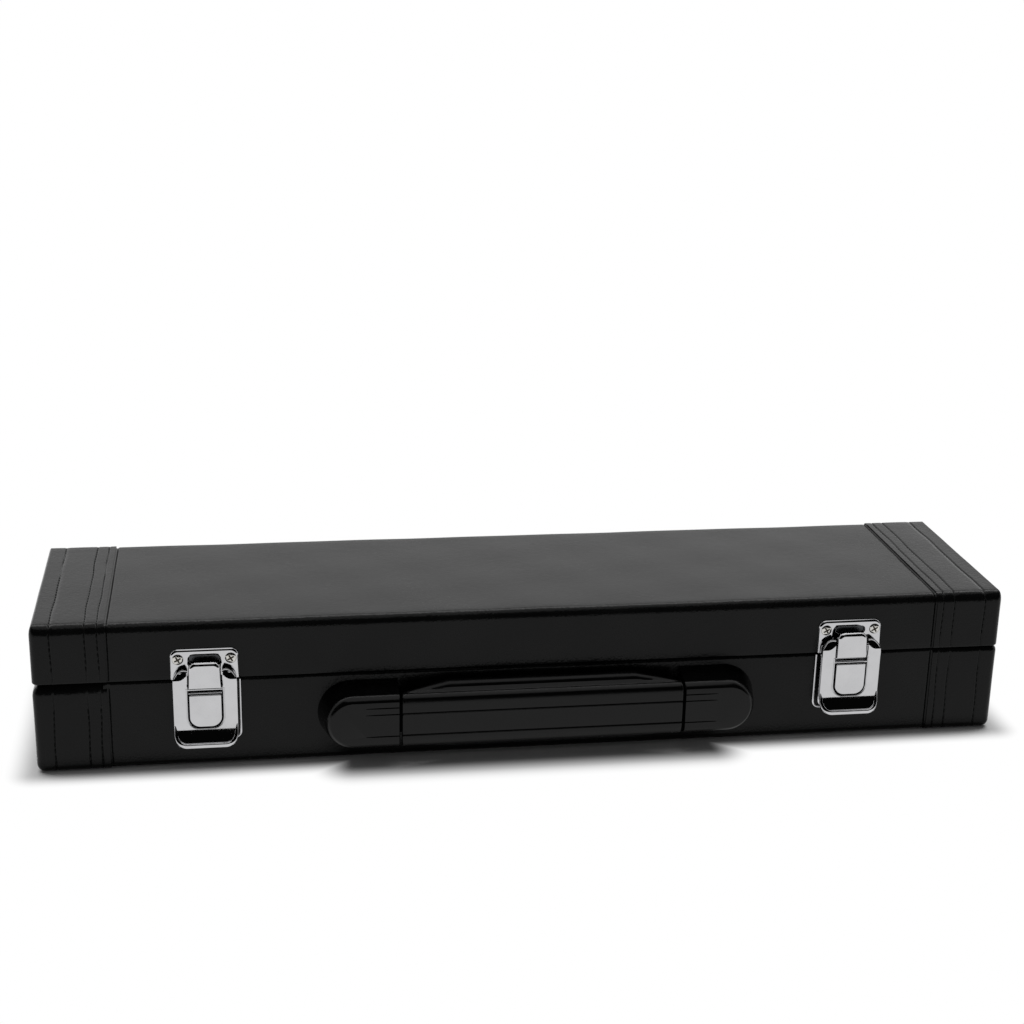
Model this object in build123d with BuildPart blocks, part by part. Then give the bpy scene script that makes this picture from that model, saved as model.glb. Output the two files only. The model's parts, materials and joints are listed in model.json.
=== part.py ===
from build123d import *
import math
import os

os.makedirs("parts", exist_ok=True)

# Flute case: a hinged wooden box covered in black leatherette, with two draw latches,
# a strap handle that pulls out of two moulded seats, and a lined inside for a flute in three joints.
# Frame: origin at the centre of the bottom face, +X along the length, front at -Y, +Z up.

# ---------------------------------------------------------------- overall size (mm)
CASE_LENGTH = 420.0
CASE_WIDTH = 100.0
CASE_HEIGHT = 66.0
SPLIT_HEIGHT = 40.0
SPLIT_GAP = 0.3
BASE_RIM = SPLIT_HEIGHT - SPLIT_GAP / 2
LID_RIM = SPLIT_HEIGHT + SPLIT_GAP / 2

# ---------------------------------------------------------------- layers of the walls
BAND_THICKNESS = 0.6
COVER_THICKNESS = 0.8
WALL_THICKNESS = 5.0
PANEL_THICKNESS = 4.0
SKIN = BAND_THICKNESS + COVER_THICKNESS
CORNER_RADIUS = 5.0
TOP_EDGE_RADIUS = 4.2
BOTTOM_EDGE_RADIUS = 3.6
BAND_WIDTH = 30.5
SHEET_GAP = 0.2
SHEET_INSET = 4.0

COVER_FACE = CASE_WIDTH / 2 - BAND_THICKNESS
FRONT_Y = -COVER_FACE
BACK_Y = COVER_FACE
INNER_X = CASE_LENGTH / 2 - SKIN - WALL_THICKNESS
INNER_Y = CASE_WIDTH / 2 - SKIN - WALL_THICKNESS
FLOOR_TOP = SKIN + PANEL_THICKNESS
LID_CEILING = CASE_HEIGHT - SKIN - PANEL_THICKNESS
HOLE_CLEARANCE = 0.05

# ---------------------------------------------------------------- lining
LINING_GAP = 0.2
FLOOR_PAD_THICKNESS = 4.0
RAIL_WIDTH = 6.5
RAIL_DROP = 2.4
POCKET_WIDTH = 33.6
BODY_END_BLOCK = 16.9
JOINT_END_BLOCK = 6.4
FOOT_POCKET = 147.0
DIVIDER_LENGTH = 14.0
SADDLE_LENGTH = 12.0
SADDLE_HEIGHT = 6.0
SADDLE_GROOVE_RADIUS = 11.0
SADDLE_GROOVE_DEPTH = 2.6
LID_PAD_THICKNESS = 5.0
PAD_TOP = FLOOR_TOP + FLOOR_PAD_THICKNESS
RAIL_TOP = BASE_RIM - RAIL_DROP

# ---------------------------------------------------------------- rear hinges
HINGE_FROM_END = 90.0
HINGE_X = CASE_LENGTH / 2 - HINGE_FROM_END
LEAF_WIDTH = 32.0
LEAF_HEIGHT = 12.1
LEAF_THICKNESS = 1.0
LEAF_CORNER = 2.0
LEAF_STANDOFF = 2.4
KNUCKLE_RADIUS = 2.0
KNUCKLE_CENTRE_WIDTH = 12.0
KNUCKLE_SIDE_GAP = 0.2
HINGE_PIN_RADIUS = 1.0
HINGE_AXIS_OFFSET = 2.2
HINGE_AXIS_Y = BACK_Y + HINGE_AXIS_OFFSET
HINGE_SCREW_X = 11.0
HINGE_SCREW_HEAD_RADIUS = 1.9
HINGE_SCREW_HEAD_HEIGHT = 0.7
HINGE_SCREW_SHANK_RADIUS = 1.1
HINGE_SCREW_LENGTH = 4.6

# ---------------------------------------------------------------- draw latches
LATCH_FROM_END = 70.7
LATCH_X = CASE_LENGTH / 2 - LATCH_FROM_END
STRIKE_WIDTH = 28.6
STRIKE_HEIGHT = 15.0
STRIKE_CORNER = 3.2
PLATE_THICKNESS = 1.0
STRIKE_RIM_WIDTH = 0.9
STRIKE_RIM_HEIGHT = 0.5
STRIKE_RIM_START = 7.2
SLOT_WIDTH = 14.0
SLOT_HEIGHT = 4.4
SLOT_CENTRE = 11.3
SLOT_CORNER = 2.1
STRIKE_SCREW_X = 11.0
STRIKE_SCREW_Z = 11.4
STRIKE_SCREW_HEAD_RADIUS = 2.3
STRIKE_SCREW_HEAD_HEIGHT = 0.9
STRIKE_SCREW_SHANK_RADIUS = 1.3
STRIKE_SCREW_LENGTH = 4.6
CROSS_LENGTH = 2.6
CROSS_WIDTH = 0.6
CROSS_DEPTH = 0.5

LATCH_PLATE_WIDTH = 29.8
LATCH_PLATE_DROP = 27.0
LATCH_PLATE_CORNER = 4.6
LATCH_PLATE_GAP = 0.3
PLATE_SCREW_SPREAD = 8.0
PLATE_SCREW_HIGH = 12.0
PLATE_SCREW_LOW = 21.5

LEVER_WIDTH = 26.4
LEVER_FACE = 5.4
LEVER_SHEET = 1.0
LEVER_BACK = 1.35
LEVER_TOP_CORNER = 5.0
LEVER_LOW_CORNER = 4.5
LEVER_LIP_START = 21.0
LEVER_LIP_END = 27.0
LEVER_LIP_REACH = 2.8
LEVER_PIVOT_U = 3.4
LEVER_PIVOT_V = 4.5
LEVER_ROLL_RADIUS = LEVER_FACE - LEVER_PIVOT_U
LEVER_PIN_RADIUS = 0.9
LEVER_PIN_REACH = 10.6
EAR_THICKNESS = 0.8
EAR_INNER = 7.1
EAR_ROUND = 1.3
EAR_FRONT = 2.9
EAR_BACK = 1.4
EAR_FOOT = 9.0
ROLL_INNER = EAR_INNER + EAR_THICKNESS + 0.3
WINDOW_HALF = 7.0
WINDOW_BOTTOM = 4.4
WINDOW_SHOULDER = 2.0

PAD_HALF = 6.6
PAD_BOTTOM = 20.2
PAD_RAISE = 0.5
PAD_CORNER = 4.0
PAD_GROOVE_WIDTH = 0.8
PAD_GROOVE_DEPTH = 0.35

HASP_WIDTH = 13.4
HASP_FACE = 5.9
HASP_SHEET = 1.0
HASP_TOP = 10.3
HASP_CORNER = 2.6
HASP_CURL = 1.5
HASP_LIP_CLEARANCE = 0.3
HASP_PIVOT_U = 4.6
HASP_PIVOT_V = -2.6
HASP_ROLL_RADIUS = HASP_FACE - HASP_PIVOT_U
HASP_PIN_RADIUS = 0.6
HASP_PIN_REACH = 8.6
HASP_BOSS_REACH = 9.2
HASP_BOSS_BACK = 3.2
HASP_BOSS_HALF = 1.4

# ---------------------------------------------------------------- strap handle
HANDLE_X = 2.6
HANDLE_Z = 22.8
HANDLE_HALF_LENGTH = 93.2
HANDLE_HALF_HEIGHT = 12.3
HANDLE_PROUD = 14.0
SEAT_DRAFT = 2.05
SEAT_TAPER = math.degrees(math.atan(SEAT_DRAFT / HANDLE_PROUD))
SEAT_MOUTH = 61.3
SEAT_EDGE = 1.8
CAVITY_END = 76.6
CAVITY_BACK = 1.6
CAVITY_FRONT = 12.6
CAVITY_HALF = 9.0
MOUTH_LIP = 2.0
MOUTH_HALF = 6.8
SEAT_SCREW_NEAR = 79.5
SEAT_SCREW_FAR = 87.5
SEAT_SCREW_RADIUS = 2.0
SEAT_SCREW_REACH = 8.0
SEAT_SCREW_HEAD_RADIUS = 3.6
SEAT_SCREW_HEAD_HEIGHT = 2.2
SEAT_SCREW_RECESS = 2.4

GRIP_HALF = 41.7
GRIP_REAR = 3.6
GRIP_CREASE = 9.0
CREASE_GAP = 0.2
GRIP_REAR_GROW = 0.6
GRIP_EDGE = 1.8
PAD_EDGE = 2.2
BEND_X = 42.0
BEND_GAP = 0.3
NOTCH_HALF_ANGLE = 23.5
WEDGE_REAR = 4.4
STRAP_END = 60.3
STRAP_REAR_AT_END = 9.6
STRIP_U = 10.5
STRIP_THICKNESS = 1.0
STRIP_HALF = 6.2
STRIP_TIP = 75.6
STRIP_HEAD_START = 71.6
STRIP_HEAD_HALF = 8.4
STRIP_SLOT_CLEARANCE = 0.05
GROOVE_UPPER = 4.2
GROOVE_LOWER = -5.7
GROOVE_WIDTH = 0.5
GROOVE_DEPTH = 0.4


# ---------------------------------------------------------------- reference planes
def front_plane(x, z, proud=0.0):
    """Plane on the front cover face: local x along +X, local y along +Z, normal outwards."""
    return Plane(origin=(x, FRONT_Y - proud, z), x_dir=(1, 0, 0), z_dir=(0, -1, 0))


def back_plane(x, z, proud=0.0):
    """Plane on the rear cover face: local y along +Z, normal outwards."""
    return Plane(origin=(x, BACK_Y + proud, z), x_dir=(-1, 0, 0), z_dir=(0, 1, 0))


def side_plane(x, z):
    """Section plane across the front: local x outwards from the cover, local y along +Z."""
    return Plane(origin=(x, FRONT_Y, z), x_dir=(0, -1, 0), z_dir=(-1, 0, 0))


def handle_face(x, z=0.0, proud=0.0):
    """Front plane at a place measured from the middle of the handle."""
    return front_plane(HANDLE_X + x, HANDLE_Z + z, proud)


def handle_section(x):
    """Section plane across the front at a distance from the middle of the handle."""
    return side_plane(HANDLE_X + x, HANDLE_Z)


def save(part, name):
    """Label one sub-part and write it to its STEP file."""
    part.label = name
    export_step(part, f"parts/{name}.step")


# ---------------------------------------------------------------- forms of the box
def box_form(inset, low, high, edge_radius, rounded_face):
    """Rounded block inside the outline by inset; one flat face (0 bottom, -1 top) has rounded edges."""
    with BuildPart() as block:
        with BuildSketch(Plane.XY.offset(low)):
            RectangleRounded(CASE_LENGTH - 2 * inset, CASE_WIDTH - 2 * inset, CORNER_RADIUS - inset)
        extrude(amount=high - low)
        fillet(block.faces().sort_by(Axis.Z)[rounded_face].edges(), edge_radius - inset)
    return block.part


def cut_to_range(form, low_corner, high_corner):
    """The portion of a form inside the box given by two opposite corners."""
    size = [high - low for low, high in zip(low_corner, high_corner)]
    centre = [(high + low) / 2 for low, high in zip(low_corner, high_corner)]
    with BuildPart() as piece:
        add(form)
        with Locations(tuple(centre)):
            Box(*size, mode=Mode.INTERSECT)
    return piece.part


base_band_form = box_form(0.0, 0.0, BASE_RIM, BOTTOM_EDGE_RADIUS, 0)
base_cover_form = box_form(BAND_THICKNESS, BAND_THICKNESS, BASE_RIM, BOTTOM_EDGE_RADIUS, 0)
base_wood_form = box_form(SKIN, SKIN, BASE_RIM, BOTTOM_EDGE_RADIUS, 0)
lid_band_form = box_form(0.0, LID_RIM, CASE_HEIGHT, TOP_EDGE_RADIUS, -1)
lid_cover_form = box_form(BAND_THICKNESS, LID_RIM, CASE_HEIGHT - BAND_THICKNESS, TOP_EDGE_RADIUS, -1)
lid_wood_form = box_form(SKIN, LID_RIM, CASE_HEIGHT - SKIN, TOP_EDGE_RADIUS, -1)


# ---------------------------------------------------------------- fasteners and their holes
def strike_screw_spots():
    """Centres (x, z) of the four strike plate screws."""
    return [
        (side * LATCH_X + hand * STRIKE_SCREW_X, SPLIT_HEIGHT + STRIKE_SCREW_Z)
        for side in (-1, 1)
        for hand in (-1, 1)
    ]


def plate_screw_spots():
    """Centres (x, z) of the screws that hold the latch base plates, under the levers."""
    spots = []
    for side in (-1, 1):
        spots.append((side * LATCH_X, SPLIT_HEIGHT - PLATE_SCREW_HIGH))
        for hand in (-1, 1):
            spots.append((side * LATCH_X + hand * PLATE_SCREW_SPREAD, SPLIT_HEIGHT - PLATE_SCREW_LOW))
    return spots


def hinge_screw_spots(z_sign):
    """Centres (x, z) of the screws of one row of hinge leaves, below (-1) or above (+1) the joint."""
    offset = LEAF_STANDOFF + LEAF_HEIGHT / 2
    return [
        (side * HINGE_X + hand * HINGE_SCREW_X, SPLIT_HEIGHT + z_sign * offset)
        for side in (-1, 1)
        for hand in (-1, 1)
    ]


def seat_screw_spots():
    """Centres (x, z) of the four screws that hold the handle seats from inside."""
    return [
        (HANDLE_X + side * reach, HANDLE_Z)
        for side in (-1, 1)
        for reach in (SEAT_SCREW_NEAR, SEAT_SCREW_FAR)
    ]


def cylinders(spots, plane_at, radius, start, end):
    """One part made of equal cylinders standing on a face plane between two heights."""
    with BuildPart() as group:
        for x, z in spots:
            with BuildSketch(plane_at(x, z, start)):
                Circle(radius)
            extrude(amount=end - start)
    return group.part


def screws(spots, plane_at, seat_height, head_radius, head_height, shank_radius, length):
    """Pan head cross recess screws seated at a height above the cover, one solid each."""
    with BuildPart() as group:
        for x, z in spots:
            with BuildSketch(plane_at(x, z, -length)):
                Circle(shank_radius)
            extrude(amount=length + seat_height)
            with BuildSketch(plane_at(x, z, seat_height)):
                Circle(head_radius)
            extrude(amount=head_height)
            with BuildSketch(plane_at(x, z, seat_height + head_height - CROSS_DEPTH)):
                Rectangle(CROSS_LENGTH, CROSS_WIDTH)
                Rectangle(CROSS_WIDTH, CROSS_LENGTH)
            extrude(amount=CROSS_DEPTH, mode=Mode.SUBTRACT)
    return group.part


strike_holes = cylinders(strike_screw_spots(), front_plane, STRIKE_SCREW_SHANK_RADIUS + HOLE_CLEARANCE,
                         -STRIKE_SCREW_LENGTH - HOLE_CLEARANCE, PLATE_THICKNESS)
plate_holes = cylinders(plate_screw_spots(), front_plane, STRIKE_SCREW_SHANK_RADIUS + HOLE_CLEARANCE,
                        -STRIKE_SCREW_LENGTH - HOLE_CLEARANCE, PLATE_THICKNESS)
hinge_base_holes = cylinders(hinge_screw_spots(-1), back_plane, HINGE_SCREW_SHANK_RADIUS + HOLE_CLEARANCE,
                             -HINGE_SCREW_LENGTH - HOLE_CLEARANCE, LEAF_THICKNESS)
hinge_lid_holes = cylinders(hinge_screw_spots(1), back_plane, HINGE_SCREW_SHANK_RADIUS + HOLE_CLEARANCE,
                            -HINGE_SCREW_LENGTH - HOLE_CLEARANCE, LEAF_THICKNESS)
WALL_INNER_DEPTH = COVER_THICKNESS + WALL_THICKNESS
seat_holes = cylinders(seat_screw_spots(), front_plane, SEAT_SCREW_RADIUS + HOLE_CLEARANCE,
                       -WALL_INNER_DEPTH, SEAT_SCREW_REACH + HOLE_CLEARANCE)
seat_recesses = cylinders(seat_screw_spots(), front_plane, SEAT_SCREW_HEAD_RADIUS + HOLE_CLEARANCE,
                          -WALL_INNER_DEPTH, -WALL_INNER_DEPTH + SEAT_SCREW_RECESS)


# ---------------------------------------------------------------- base: wooden shell
WOOD_X = CASE_LENGTH / 2 - SKIN
WOOD_Y = CASE_WIDTH / 2 - SKIN


def wooden_walls(form, low, high):
    """Front, back, left and right walls of one half, butted at the corners."""
    front = cut_to_range(form, (-WOOD_X, -WOOD_Y, low), (WOOD_X, -INNER_Y, high))
    back = cut_to_range(form, (-WOOD_X, INNER_Y, low), (WOOD_X, WOOD_Y, high))
    left = cut_to_range(form, (-WOOD_X, -INNER_Y, low), (-INNER_X, INNER_Y, high))
    right = cut_to_range(form, (INNER_X, -INNER_Y, low), (WOOD_X, INNER_Y, high))
    return front, back, left, right


base_front_blank, base_back_blank, base_left, base_right = wooden_walls(base_wood_form, FLOOR_TOP, BASE_RIM)

with BuildPart() as base_wall_front:
    add(base_front_blank)
    add(plate_holes, mode=Mode.SUBTRACT)
    add(seat_holes, mode=Mode.SUBTRACT)
    add(seat_recesses, mode=Mode.SUBTRACT)
save(base_wall_front.part, "base_wall_front")

with BuildPart() as base_wall_back:
    add(base_back_blank)
    add(hinge_base_holes, mode=Mode.SUBTRACT)
save(base_wall_back.part, "base_wall_back")

save(base_left, "base_wall_left")
save(base_right, "base_wall_right")

base_bottom_panel = cut_to_range(base_wood_form, (-WOOD_X, -WOOD_Y, SKIN), (WOOD_X, WOOD_Y, FLOOR_TOP))
save(base_bottom_panel, "base_bottom_panel")

# ---------------------------------------------------------------- base: leatherette
with BuildPart() as base_cover:
    add(base_cover_form)
    add(base_wood_form, mode=Mode.SUBTRACT)
    add(plate_holes, mode=Mode.SUBTRACT)
    add(hinge_base_holes, mode=Mode.SUBTRACT)
    add(seat_holes, mode=Mode.SUBTRACT)
save(base_cover.part, "base_cover")

BAND_START = CASE_LENGTH / 2 - BAND_WIDTH


def end_band(outer_form, inner_form, side, low, high):
    """Stitched leatherette cap around one end of a half, laid over its cover."""
    with BuildPart() as band:
        add(outer_form)
        add(inner_form, mode=Mode.SUBTRACT)
        with Locations((side * (BAND_START + BAND_WIDTH / 2), 0, (low + high) / 2)):
            Box(BAND_WIDTH, CASE_WIDTH, high - low, mode=Mode.INTERSECT)
    return band.part


for side, name in ((-1, "left"), (1, "right")):
    save(end_band(base_band_form, base_cover_form, side, 0.0, BASE_RIM), f"base_band_{name}")
    save(end_band(lid_band_form, lid_cover_form, side, LID_RIM, CASE_HEIGHT), f"lid_band_{name}")

with BuildPart() as base_bottom_sheet:
    with BuildSketch():
        Rectangle(2 * (BAND_START - SHEET_GAP), CASE_WIDTH - 2 * SHEET_INSET)
    extrude(amount=BAND_THICKNESS)
save(base_bottom_sheet.part, "base_bottom_sheet")

# ---------------------------------------------------------------- lid: wooden shell and leatherette
lid_front_blank, lid_back_blank, lid_left, lid_right = wooden_walls(lid_wood_form, LID_RIM, LID_CEILING)

with BuildPart() as lid_wall_front:
    add(lid_front_blank)
    add(strike_holes, mode=Mode.SUBTRACT)
save(lid_wall_front.part, "lid_wall_front")

with BuildPart() as lid_wall_back:
    add(lid_back_blank)
    add(hinge_lid_holes, mode=Mode.SUBTRACT)
save(lid_wall_back.part, "lid_wall_back")

save(lid_left, "lid_wall_left")
save(lid_right, "lid_wall_right")

lid_top_panel = cut_to_range(
    lid_wood_form, (-WOOD_X, -WOOD_Y, LID_CEILING), (WOOD_X, WOOD_Y, CASE_HEIGHT - SKIN)
)
save(lid_top_panel, "lid_top_panel")

with BuildPart() as lid_cover:
    add(lid_cover_form)
    add(lid_wood_form, mode=Mode.SUBTRACT)
    add(strike_holes, mode=Mode.SUBTRACT)
    add(hinge_lid_holes, mode=Mode.SUBTRACT)
save(lid_cover.part, "lid_cover")


# ---------------------------------------------------------------- lining: plush covered foam
LINING_X = INNER_X - LINING_GAP
LINING_Y = INNER_Y - LINING_GAP
MIDDLE_HALF = LINING_Y - RAIL_WIDTH - POCKET_WIDTH
FRONT_POCKET_Y = -(MIDDLE_HALF + POCKET_WIDTH / 2)
REAR_POCKET_Y = -FRONT_POCKET_Y


def foam_blocks(name, low_z, high_z, spans):
    """One node of foam blocks; each span is ((x low, x high), (y low, y high))."""
    with BuildPart() as blocks:
        for (x_low, x_high), (y_low, y_high) in spans:
            with BuildSketch(Plane.XY.offset(low_z)):
                with Locations(((x_low + x_high) / 2, (y_low + y_high) / 2)):
                    Rectangle(x_high - x_low, y_high - y_low)
            extrude(amount=high_z - low_z)
    save(blocks.part, name)


def saddles(name, x_positions, pocket_y):
    """Low blocks across a pocket, each with a shallow round groove for the tube."""
    groove_z = PAD_TOP + SADDLE_HEIGHT + SADDLE_GROOVE_RADIUS - SADDLE_GROOVE_DEPTH
    with BuildPart() as blocks:
        for x in x_positions:
            start = Plane(origin=(x - SADDLE_LENGTH / 2, pocket_y, PAD_TOP), x_dir=(0, 1, 0), z_dir=(1, 0, 0))
            with BuildSketch(start):
                with Locations((0, SADDLE_HEIGHT / 2)):
                    Rectangle(POCKET_WIDTH, SADDLE_HEIGHT)
                with Locations((0, groove_z - PAD_TOP)):
                    Circle(SADDLE_GROOVE_RADIUS, mode=Mode.SUBTRACT)
            extrude(amount=SADDLE_LENGTH)
    save(blocks.part, name)


full_x = (-LINING_X, LINING_X)
front_pocket_span = (-MIDDLE_HALF - POCKET_WIDTH, -MIDDLE_HALF)
rear_pocket_span = (MIDDLE_HALF, MIDDLE_HALF + POCKET_WIDTH)
foot_end = LINING_X - JOINT_END_BLOCK
foot_start = foot_end - FOOT_POCKET
head_end = foot_start - DIVIDER_LENGTH
head_start = -LINING_X + JOINT_END_BLOCK
head_length = head_end - head_start
body_half = LINING_X - BODY_END_BLOCK

foam_blocks("floor_pad", FLOOR_TOP, PAD_TOP, [(full_x, (-LINING_Y, LINING_Y))])
foam_blocks("front_rail", PAD_TOP, RAIL_TOP, [(full_x, (-LINING_Y, -LINING_Y + RAIL_WIDTH))])
foam_blocks("back_rail", PAD_TOP, RAIL_TOP, [(full_x, (LINING_Y - RAIL_WIDTH, LINING_Y))])
foam_blocks("middle_rail", PAD_TOP, RAIL_TOP, [(full_x, (-MIDDLE_HALF, MIDDLE_HALF))])
foam_blocks("divider_block", PAD_TOP, RAIL_TOP, [((head_end, foot_start), front_pocket_span)])
foam_blocks("joint_end_blocks", PAD_TOP, RAIL_TOP,
            [((-LINING_X, head_start), front_pocket_span), ((foot_end, LINING_X), front_pocket_span)])
foam_blocks("body_end_blocks", PAD_TOP, RAIL_TOP,
            [((-LINING_X, -body_half), rear_pocket_span), ((body_half, LINING_X), rear_pocket_span)])
saddles("body_saddles", (-body_half / 2, body_half / 2), REAR_POCKET_Y)
saddles("head_saddles", (head_start + head_length / 5, head_end - head_length / 5), FRONT_POCKET_Y)
saddles("foot_saddle", ((foot_start + foot_end) / 2,), FRONT_POCKET_Y)
foam_blocks("lid_pad", LID_CEILING - LID_PAD_THICKNESS, LID_CEILING, [(full_x, (-LINING_Y, LINING_Y))])


# ---------------------------------------------------------------- rear hinges
def knuckle(x_low, x_high):
    """Solid barrel around the hinge axis between two x positions, drilled for the pin."""
    axis = Plane(origin=(x_low, HINGE_AXIS_Y, SPLIT_HEIGHT), x_dir=(0, 1, 0), z_dir=(1, 0, 0))
    with BuildPart() as barrel:
        with BuildSketch(axis):
            Circle(KNUCKLE_RADIUS)
        extrude(amount=x_high - x_low)
        with BuildSketch(axis):
            Circle(HINGE_PIN_RADIUS + HOLE_CLEARANCE)
        extrude(amount=x_high - x_low, mode=Mode.SUBTRACT)
    return barrel.part


def hinge_leaf(x, z_sign, spans, holes):
    """Leaf below (-1) or above (+1) the joint, with a tongue and barrel on each x span."""
    leaf_z = SPLIT_HEIGHT + z_sign * (LEAF_STANDOFF + LEAF_HEIGHT / 2)
    barrels = [knuckle(x + low, x + high) for low, high in spans]
    bore = knuckle_bore(x)
    with BuildPart() as leaf:
        with BuildSketch(back_plane(x, leaf_z)):
            RectangleRounded(LEAF_WIDTH, LEAF_HEIGHT, LEAF_CORNER)
        extrude(amount=LEAF_THICKNESS)
        for low, high in spans:
            tongue_z = SPLIT_HEIGHT + z_sign * (LEAF_STANDOFF + LEAF_CORNER) / 2
            with BuildSketch(back_plane(x + (low + high) / 2, tongue_z)):
                Rectangle(high - low, LEAF_STANDOFF + LEAF_CORNER)
            extrude(amount=LEAF_THICKNESS)
        for barrel in barrels:
            add(barrel)
        add(bore, mode=Mode.SUBTRACT)
        add(holes, mode=Mode.SUBTRACT)
    return leaf.part


def knuckle_bore(x):
    """Cutter that keeps the hinge pin free of the leaf tongues."""
    axis = Plane(origin=(x, HINGE_AXIS_Y, SPLIT_HEIGHT), x_dir=(0, 1, 0), z_dir=(1, 0, 0))
    with BuildPart() as cutter:
        with BuildSketch(axis):
            Circle(HINGE_PIN_RADIUS + HOLE_CLEARANCE)
        extrude(amount=LEAF_WIDTH / 2, both=True)
    return cutter.part


centre_half = KNUCKLE_CENTRE_WIDTH / 2
side_start = centre_half + KNUCKLE_SIDE_GAP
base_spans = [(-centre_half, centre_half)]
lid_spans = [(-LEAF_WIDTH / 2, -side_start), (side_start, LEAF_WIDTH / 2)]
for side, name in ((-1, "left"), (1, "right")):
    save(hinge_leaf(side * HINGE_X, -1, base_spans, hinge_base_holes), f"hinge_base_leaf_{name}")
    save(hinge_leaf(side * HINGE_X, 1, lid_spans, hinge_lid_holes), f"hinge_lid_leaf_{name}")

with BuildPart() as hinge_pins:
    for side in (-1, 1):
        middle = Plane(origin=(side * HINGE_X, HINGE_AXIS_Y, SPLIT_HEIGHT), x_dir=(0, 1, 0), z_dir=(1, 0, 0))
        with BuildSketch(middle):
            Circle(HINGE_PIN_RADIUS)
        extrude(amount=LEAF_WIDTH / 2, both=True)
save(hinge_pins.part, "hinge_pins")

save(screws(hinge_screw_spots(-1), back_plane, LEAF_THICKNESS, HINGE_SCREW_HEAD_RADIUS,
            HINGE_SCREW_HEAD_HEIGHT, HINGE_SCREW_SHANK_RADIUS, HINGE_SCREW_LENGTH), "hinge_base_screws")
save(screws(hinge_screw_spots(1), back_plane, LEAF_THICKNESS, HINGE_SCREW_HEAD_RADIUS,
            HINGE_SCREW_HEAD_HEIGHT, HINGE_SCREW_SHANK_RADIUS, HINGE_SCREW_LENGTH), "hinge_lid_screws")


# ---------------------------------------------------------------- latches: strike plate on the lid
def strike_outline():
    """Full rectangle of the strike plate, drawn in the open sketch from the split upwards."""
    height = STRIKE_HEIGHT - LATCH_PLATE_GAP
    with Locations((0, LATCH_PLATE_GAP + height / 2)):
        Rectangle(STRIKE_WIDTH, height)


def top_corners(sketch):
    """The two highest corner points of a sketch on a front plane."""
    return sketch.vertices().sort_by(Axis.Y)[-2:]


def strike_plate(x):
    """Pressed plate with a raised rim, the hasp slot and two screw holes."""
    with BuildPart() as plate:
        with BuildSketch(front_plane(x, SPLIT_HEIGHT)) as blank:
            strike_outline()
            fillet(top_corners(blank), STRIKE_CORNER)
        extrude(amount=PLATE_THICKNESS)
        with BuildSketch(front_plane(x, SPLIT_HEIGHT, PLATE_THICKNESS)) as rim:
            strike_outline()
            fillet(top_corners(rim), STRIKE_CORNER)
            with Locations((0, (STRIKE_RIM_START + LATCH_PLATE_GAP) / 2)):
                Rectangle(STRIKE_WIDTH, STRIKE_RIM_START - LATCH_PLATE_GAP, mode=Mode.SUBTRACT)
            inner_height = STRIKE_HEIGHT - STRIKE_RIM_WIDTH
            with Locations((0, inner_height / 2)):
                RectangleRounded(STRIKE_WIDTH - 2 * STRIKE_RIM_WIDTH, inner_height,
                                 STRIKE_CORNER - STRIKE_RIM_WIDTH, mode=Mode.SUBTRACT)
        extrude(amount=STRIKE_RIM_HEIGHT)
        with BuildSketch(front_plane(x, SPLIT_HEIGHT + SLOT_CENTRE)):
            RectangleRounded(SLOT_WIDTH, SLOT_HEIGHT, SLOT_CORNER)
        extrude(amount=PLATE_THICKNESS, mode=Mode.SUBTRACT)
        add(strike_holes, mode=Mode.SUBTRACT)
    return plate.part


for side, name in ((-1, "left"), (1, "right")):
    save(strike_plate(side * LATCH_X), f"strike_plate_{name}")

save(screws(strike_screw_spots(), front_plane, PLATE_THICKNESS, STRIKE_SCREW_HEAD_RADIUS,
            STRIKE_SCREW_HEAD_HEIGHT, STRIKE_SCREW_SHANK_RADIUS, STRIKE_SCREW_LENGTH), "strike_screws")


# ---------------------------------------------------------------- latches: base plate with pivot ears
def latch_plate(x):
    """Plate under the lever with two ears that carry the lever pins in front of the strike plate."""
    plate_height = LATCH_PLATE_DROP - LATCH_PLATE_GAP
    ear_top = LEVER_PIVOT_V
    with BuildPart() as plate:
        with BuildSketch(front_plane(x, SPLIT_HEIGHT - LATCH_PLATE_GAP - plate_height / 2)) as blank:
            Rectangle(LATCH_PLATE_WIDTH, plate_height)
            fillet(blank.vertices().sort_by(Axis.Y)[:2], LATCH_PLATE_CORNER)
        extrude(amount=PLATE_THICKNESS)
        for hand in (-1, 1):
            inner = EAR_INNER if hand > 0 else -EAR_INNER - EAR_THICKNESS
            ear_plane = side_plane(x + inner + EAR_THICKNESS, SPLIT_HEIGHT)
            with BuildSketch(ear_plane):
                with BuildLine():
                    Polyline(
                        (PLATE_THICKNESS / 2, -EAR_FOOT),
                        (PLATE_THICKNESS, -EAR_FOOT),
                        (EAR_FRONT, -EAR_FOOT + EAR_FRONT),
                        (EAR_FRONT, ear_top),
                        (EAR_BACK, ear_top),
                        (EAR_BACK, -2 * LATCH_PLATE_GAP),
                        (PLATE_THICKNESS / 2, -2 * LATCH_PLATE_GAP),
                        close=True,
                    )
                make_face()
                with Locations((LEVER_PIVOT_U, LEVER_PIVOT_V)):
                    Circle(EAR_ROUND)
            extrude(amount=EAR_THICKNESS)
            with BuildSketch(ear_plane):
                with Locations((LEVER_PIVOT_U, LEVER_PIVOT_V)):
                    Circle(LEVER_PIN_RADIUS)
            extrude(amount=EAR_THICKNESS, mode=Mode.SUBTRACT)
        add(plate_holes, mode=Mode.SUBTRACT)
    return plate.part


for side, name in ((-1, "left"), (1, "right")):
    save(latch_plate(side * LATCH_X), f"latch_plate_{name}")

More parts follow.
